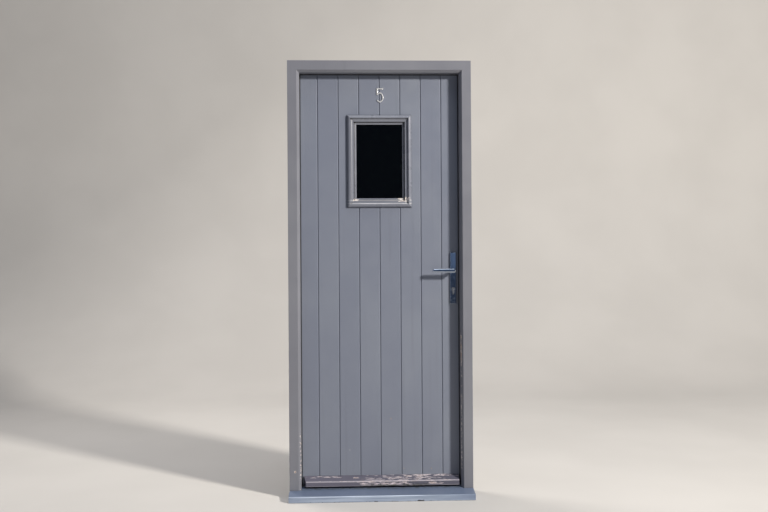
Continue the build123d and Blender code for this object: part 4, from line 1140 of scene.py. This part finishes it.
@dataclass
class GlazedLight:
    """Sealed unit with its mouldings, beads and spacer.

    Attributes:
        bead_back: How far the mouldings' inner steps lie behind their front, in metres.
        crest_back: How far their crest does, in metres.
        crest_drop: How far the lower member's crest lies under the sight line, in metres.
        fillet_drop: How far its inner fillet does, in metres.
        mitre_out: How far the worn part of a mitre lies outside its corner, in metres.
        mitre_drop: How far it lies under its corner, in metres.
        corner_x: Distance of the sight line's corners from the middle, in metres.
        corner_z: Height of the sight line's lower corners, in metres.
        bead_y: Place of the mouldings' inner steps, in metres.
        crest_y: Place of their crest, in metres.
    """

    bead_back: float = 0.012
    crest_back: float = 0.002
    crest_drop: float = 0.0265
    fillet_drop: float = 0.011
    mitre_out: float = 0.006
    mitre_drop: float = 0.009
    corner_x: float = field(init=False)
    corner_z: float = field(init=False)
    bead_y: float = field(init=False)
    crest_y: float = field(init=False)

    def __post_init__(self) -> None:
        """Take the sight line's corners and the mouldings' places from the frame."""
        right, _ = node_box("outer_bead_right")
        _, bottom = node_box("outer_bead_bottom")
        self.corner_x = right.x
        self.corner_z = bottom.z
        self.bead_y = right.y + self.bead_back
        self.crest_y = right.y + self.crest_back

    def bead_flakes(self) -> tuple[Patch, ...]:
        """Lower corners, worn in pale streaks along the mitres.

        Returns:
            The patches.
        """
        x, z = self.corner_x + self.mitre_out, self.corner_z - self.mitre_drop
        return tuple(
            Patch((side * x, self.bead_y, z), (half, 0.02, 0.014), 0.33)
            for side, half in ((-1, 0.020), (1, 0.034))
        )

    def bead_worn_highlights(self) -> tuple[Patch, ...]:
        """Pale lines along the lower member's fillet and, brighter, along its crest: painted highlights
        on its upward faces, with some wear.

        Returns:
            The patches.
        """
        return (
            Patch((0.0, self.bead_y, self.corner_z - self.fillet_drop), (0.30, 0.02, 0.004), 0.45),
            Patch((0.03, self.crest_y, self.corner_z - self.crest_drop), (0.30, 0.02, 0.0035), 0.8),
        )

    def moulding(self, name: str, run: Run) -> bpy.types.Material:
        """Paint of the members that run one way.

        Args:
            name: The material's name.
            run: The way of their grain.

        Returns:
            The finished paint.
        """
        paint = BrushedPaint(
            name,
            coat="#6e727e",
            faded="#777b86",
            worn_highlight_colour="#c3c4c6",
            primer="#d8d3d0",
            timber="#cbbdb2",
            timber_dark="#9f9187",
            # A near black colour and strong darkening in hollows paint the shade in the quirks and steps
            grime_and_shade="#15171c",
            run=run,
            gloss=0.3,
            bare_from=0.9,
            crevice_shade_mm=10.0,
            crevice_shade_full=0.78,
            crevice_shade_level=0.97,
            flake_mm=4.5,
            flake_run=(0.35, 1.0, 1.0) if run is Run.ACROSS else (1.0, 1.0, 0.35),
            flaked=self.bead_flakes(),
            worn_highlights=self.bead_worn_highlights(),
        )
        return paint.build()

    def dress(self) -> None:
        """Give the mouldings, the panes and the spacer their finishes."""
        uprights = self.moulding("gloss_paint_on_upright_moulding", Run.UPRIGHT)
        dress(["outer_bead_left", "outer_bead_right", "inner_beads"], uprights)
        rails = self.moulding("gloss_paint_on_level_moulding", Run.ACROSS)
        dress(["outer_bead_top", "outer_bead_bottom"], rails)
        dress(["glass_outer", "glass_inner"], FloatGlass().build())
        spacer = WorkedMetal("rolled_aluminium_spacer", "#8f9194", "#77797c", 0.4)
        dress(["glass_spacer"], spacer.build())


class Facing(Enum):
    """The way that a row of screw heads faces, as an outward direction."""

    RIGHT = (1.0, 0.0, 0.0)
    LEFT = (-1.0, 0.0, 0.0)
    INSIDE = (0.0, 1.0, 0.0)


@dataclass
class ScrewDrives:
    """Cross recesses in the screw heads, drawn as dark crosses a hair above each head.

    Attributes:
        arm_mm: Half the length of a cross.
        width_mm: The width of its arms.
        rise_mm: How far it stands above the head.
        turn_deg: How far each cross is turned.
        slot: The name of the screws' material slot; not used.
    """

    arm_mm: float = 2.3
    width_mm: float = 0.95
    rise_mm: float = 0.05
    turn_deg: float = 28.0
    slot: str = "screw_steel"

    def outline(self) -> list[tuple[float, float]]:
        """Corners of a cross, once round.

        Returns:
            The corners in metres.
        """
        arm, half = self.arm_mm * MM, self.width_mm * MM / 2
        corner = ((half, arm), (half, half), (arm, half))
        return [
            *corner,
            *((x, -y) for x, y in reversed(corner)),
            *((-x, -y) for x, y in corner),
            *((-x, y) for x, y in reversed(corner)),
        ]

    def cross(self, mesh: bmesh.types.BMesh, centre: Vector, outward: Vector) -> None:
        """Add one cross on a head.

        Args:
            mesh: The mesh that takes it.
            centre: The middle of the head's face.
            outward: The way that the head faces.
        """
        spin = Matrix.Rotation(math.radians(self.turn_deg), 3, "Z")
        turn = outward.to_track_quat("Z", "Y").to_matrix() @ spin
        rings = []
        for height in (-self.rise_mm * MM, self.rise_mm * MM):
            places = [centre + turn @ Vector((x, y, height)) for x, y in self.outline()]
            rings.append([mesh.verts.new(place) for place in places])
        mesh.faces.new(rings[1][::-1])
        mesh.faces.new(rings[0])
        count = len(rings[0])
        for i in range(count):
            j = (i + 1) % count
            mesh.faces.new((rings[0][j], rings[0][i], rings[1][i], rings[1][j]))

    def row(self, node: str, facing: Facing, body: str, material: bpy.types.Material) -> None:
        """Add the crosses of every screw in one CAD node.

        Args:
            node: The node of the screws.
            facing: The way that their heads face.
            body: The CAD body that carries them.
            material: The finish of the recesses.
        """
        outward = Vector(facing.value)
        mesh = bmesh.new()
        for low, high in solids(node):
            middle = (low + high) / 2
            reach = Vector([abs(c) for c in outward]).dot(high - low) / 2
            self.cross(mesh, middle + outward * reach, outward)
        add_piece(f"{node}_drives", mesh, material, body)

    def build(self) -> None:
        """Add the recesses of all screws whose heads can be seen."""
        dark = WorkedMetal("shadowed_zinc_recess", "#2a2a2b", "#1d1d1e", 0.5).build()
        self.row("hinge_frame_screws", Facing.RIGHT, "frame", dark)
        self.row("hinge_leaf_screws", Facing.LEFT, "leaf", dark)
        self.row("keep_screws", Facing.LEFT, "frame", dark)
        self.row("faceplate_screws", Facing.RIGHT, "leaf", dark)
        self.row("cylinder_screw", Facing.RIGHT, "leaf", dark)
        self.row("plate_bolts", Facing.INSIDE, "leaf", dark)


@dataclass
class Ironmongery:
    """Hinges, lock, levers and plates.

    Attributes:
        hinge_count: How many hinges the leaf hangs on.
    """

    hinge_count: int = 3

    def dress(self) -> None:
        """Give the metalwork its finishes."""
        steel = WorkedMetal("satin_hinge_steel", "#b4b6b8", "#8a8c8e", 0.3).build()
        numbers = range(1, self.hinge_count + 1)
        hinges = [f"hinge_{half}_plate_{n}" for half in ("frame", "leaf") for n in numbers]
        dress(hinges + ["hinge_pins", "faceplate", "lock_case", "keep_plate", "spindle"], steel)
        zinc = WorkedMetal("zinc_plated_screws", "#c3c4c1", "#97968f", 0.32).build()
        screws = ["hinge_frame_screws", "hinge_leaf_screws", "keep_screws", "faceplate_screws"]
        dress(screws + ["cylinder_screw", "plate_bolts"], zinc)
        brass = WorkedMetal("machined_brass", "#c9a75f", "#96783e", 0.28).build()
        dress(["follower", "latch_bolt", "dead_bolt"], brass)
        nickel = WorkedMetal("nickel_plated_brass", "#c3c5c8", "#97999c", 0.22).build()
        dress(["cylinder_body", "cylinder_plug"], nickel)
        handles = ["outer_lever", "inner_lever", "outer_backplate", "inner_backplate"]
        dress(handles, PlatedChrome().build())


@dataclass(frozen=True)
class SoftLight:
    """A square soft light.

    Attributes:
        name: Its name.
        place: Its place in metres.
        side: The length of its side in metres.
        watts: Its power.
        tint: Its colour as an sRGB hex value.
    """

    name: str
    place: Point
    side: float
    watts: float
    tint: str

    def build(self, target: Point) -> None:
        """Add the light to the scene.

        Args:
            target: The place that it faces.
        """
        data = bpy.data.lights.new(self.name, "AREA")
        data.size = self.side
        data.energy = self.watts
        data.color = linear(self.tint)[:3]
        light = bpy.data.objects.new(self.name, data)
        aim = Vector(target) - Vector(self.place)
        turn = aim.to_track_quat("-Z", "Y").to_matrix().to_4x4()
        light.matrix_world = Matrix.Translation(self.place) @ turn
        bpy.context.scene.collection.objects.link(light)


@dataclass(frozen=True)
class PhotoCamera:
    """The photograph's camera, fitted to the leaf's grooves and edges, the light and the sill.

    Attributes:
        name: The camera's name.
        place: Its place in metres.
        turn_deg: Its turn to the right.
        roll_deg: Its roll.
        focal_px: Its focal length in pixels of the photograph's width.
        photo_width_px: That width.
        sensor_mm: The width of its sensor.
        sight: How far it sees, in metres.
    """

    name: str = "photo_camera"
    place: Point = (-0.167, -4.435, 1.176)
    turn_deg: float = 2.383
    roll_deg: float = -0.355
    focal_px: float = 910.1
    photo_width_px: float = 768.0
    sensor_mm: float = 36.0
    sight: float = 100.0

    def build(self) -> None:
        """Add the camera and look through it."""
        turn, roll = math.radians(self.turn_deg), math.radians(self.roll_deg)
        forward = Vector((math.sin(turn), math.cos(turn), 0.0))
        level = Vector((math.cos(turn), -math.sin(turn), 0.0))
        upright = Vector((0.0, 0.0, 1.0))
        right = level * math.cos(roll) + upright * math.sin(roll)
        up = upright * math.cos(roll) - level * math.sin(roll)
        data = bpy.data.cameras.new(self.name)
        data.sensor_width = self.sensor_mm
        data.lens = self.focal_px / self.photo_width_px * self.sensor_mm
        data.clip_end = self.sight
        camera = bpy.data.objects.new(self.name, data)
        axes = Matrix((right, up, -forward)).transposed().to_4x4()
        camera.matrix_world = Matrix.Translation(self.place) @ axes
        bpy.context.scene.collection.objects.link(camera)
        bpy.context.scene.camera = camera


@dataclass
class Studio:
    """Plain pale floor and sweep, soft lights and the photograph's camera.

    Attributes:
        floor_half: Half the floor's width and its reach to the front, in metres.
        sweep_start: Where the floor begins to curve up, in metres behind the frame.
        sweep_radius: The radius of that curve, in metres.
        sweep_steps: How many faces make it up.
        backdrop_top: The height of the plain backdrop, in metres.
        paper: The finish of floor and backdrop.
        surround: The colour of the light from all round.
        surround_level: The strength of that light.
        target: The place that the lights face, about the door's middle, in metres.
        lights: The lights.
    """

    floor_half: float = 14.0
    sweep_start: float = 3.0
    sweep_radius: float = 2.5
    sweep_steps: int = 16
    backdrop_top: float = 9.0
    paper: StudioPaper = StudioPaper()
    surround: str = "#98add2"
    surround_level: float = 0.13
    target: Point = (0.0, 0.0, 1.1)
    lights: tuple[SoftLight, ...] = (
        # Low and from the right, small for its distance, so that the moulding casts clear shadows
        SoftLight("key_light", (6.6, -5.85, 5.0), 0.9, 1350.0, "#fff8ee"),
        # A thin light line on the left edges of plate and lever
        SoftLight("fill_light", (-4.5, -4.0, 1.3), 1.4, 12.0, "#e6eeff"),
        SoftLight("top_light", (0.4, -0.9, 5.2), 2.2, 52.0, "#eef4ff"),
        # For the views from inside
        SoftLight("back_light", (-2.5, 2.2, 4.2), 1.8, 120.0, "#fff8f0"),
        # A dim panel that the upper part of the plate mirrors
        SoftLight("lock_card", (1.13, -6.5, 1.31), 0.62, 0.30, "#9db8e0"),
    )

    def floor_profile(self) -> list[tuple[float, float]]:
        """Section of the floor, its sweep and the backdrop.

        Returns:
            Places from front to back, each with its height.
        """
        profile = [(-self.floor_half, 0.0), (self.sweep_start, 0.0)]
        for i in range(1, self.sweep_steps + 1):
            angle = math.radians(90 * i / self.sweep_steps)
            y = self.sweep_start + self.sweep_radius * math.sin(angle)
            profile.append((y, self.sweep_radius * (1 - math.cos(angle))))
        profile.append((self.sweep_start + self.sweep_radius, self.backdrop_top))
        return profile

    def add_floor(self) -> None:
        """Add the floor, which sweeps up behind the door to a plain backdrop."""
        profile = self.floor_profile()
        mesh = bmesh.new()
        left, right = (
            [mesh.verts.new((x, y, z)) for y, z in profile] for x in (-self.floor_half, self.floor_half)
        )
        for i in range(len(profile) - 1):
            mesh.faces.new((left[i], right[i], right[i + 1], left[i + 1]))
        data = bpy.data.meshes.new("studio_floor")
        mesh.normal_update()
        mesh.to_mesh(data)
        mesh.free()
        for polygon in data.polygons:
            polygon.use_smooth = True
        data.materials.append(self.paper.build())
        floor = bpy.data.objects.new("studio_floor", data)
        bpy.context.scene.collection.objects.link(floor)

    def add_surround(self) -> None:
        """Add the faint light from all round."""
        world = bpy.data.worlds.new("studio_surround")
        world.use_nodes = True
        background = world.node_tree.nodes["Background"]
        background.inputs["Color"].default_value = linear(self.surround)
        background.inputs["Strength"].default_value = self.surround_level
        bpy.context.scene.world = world

    def build(self) -> None:
        """Set up surround, floor, lights and camera."""
        self.add_surround()
        bpy.context.scene.view_settings.view_transform = "Standard"
        self.add_floor()
        for light in self.lights:
            light.build(self.target)
        PhotoCamera().build()
        log.info("studio ready")


def main() -> None:
    """Dress the frame, add the small fittings and set up the studio."""
    logging.basicConfig(level=logging.INFO, format="%(name)s: %(message)s")
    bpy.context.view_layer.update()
    FrameAssembly().dress()
    LeafAssembly().dress()
    GlazedLight().dress()
    Ironmongery().dress()
    ScrewDrives().build()
    Studio().build()


if __name__ == "__main__":
    main()
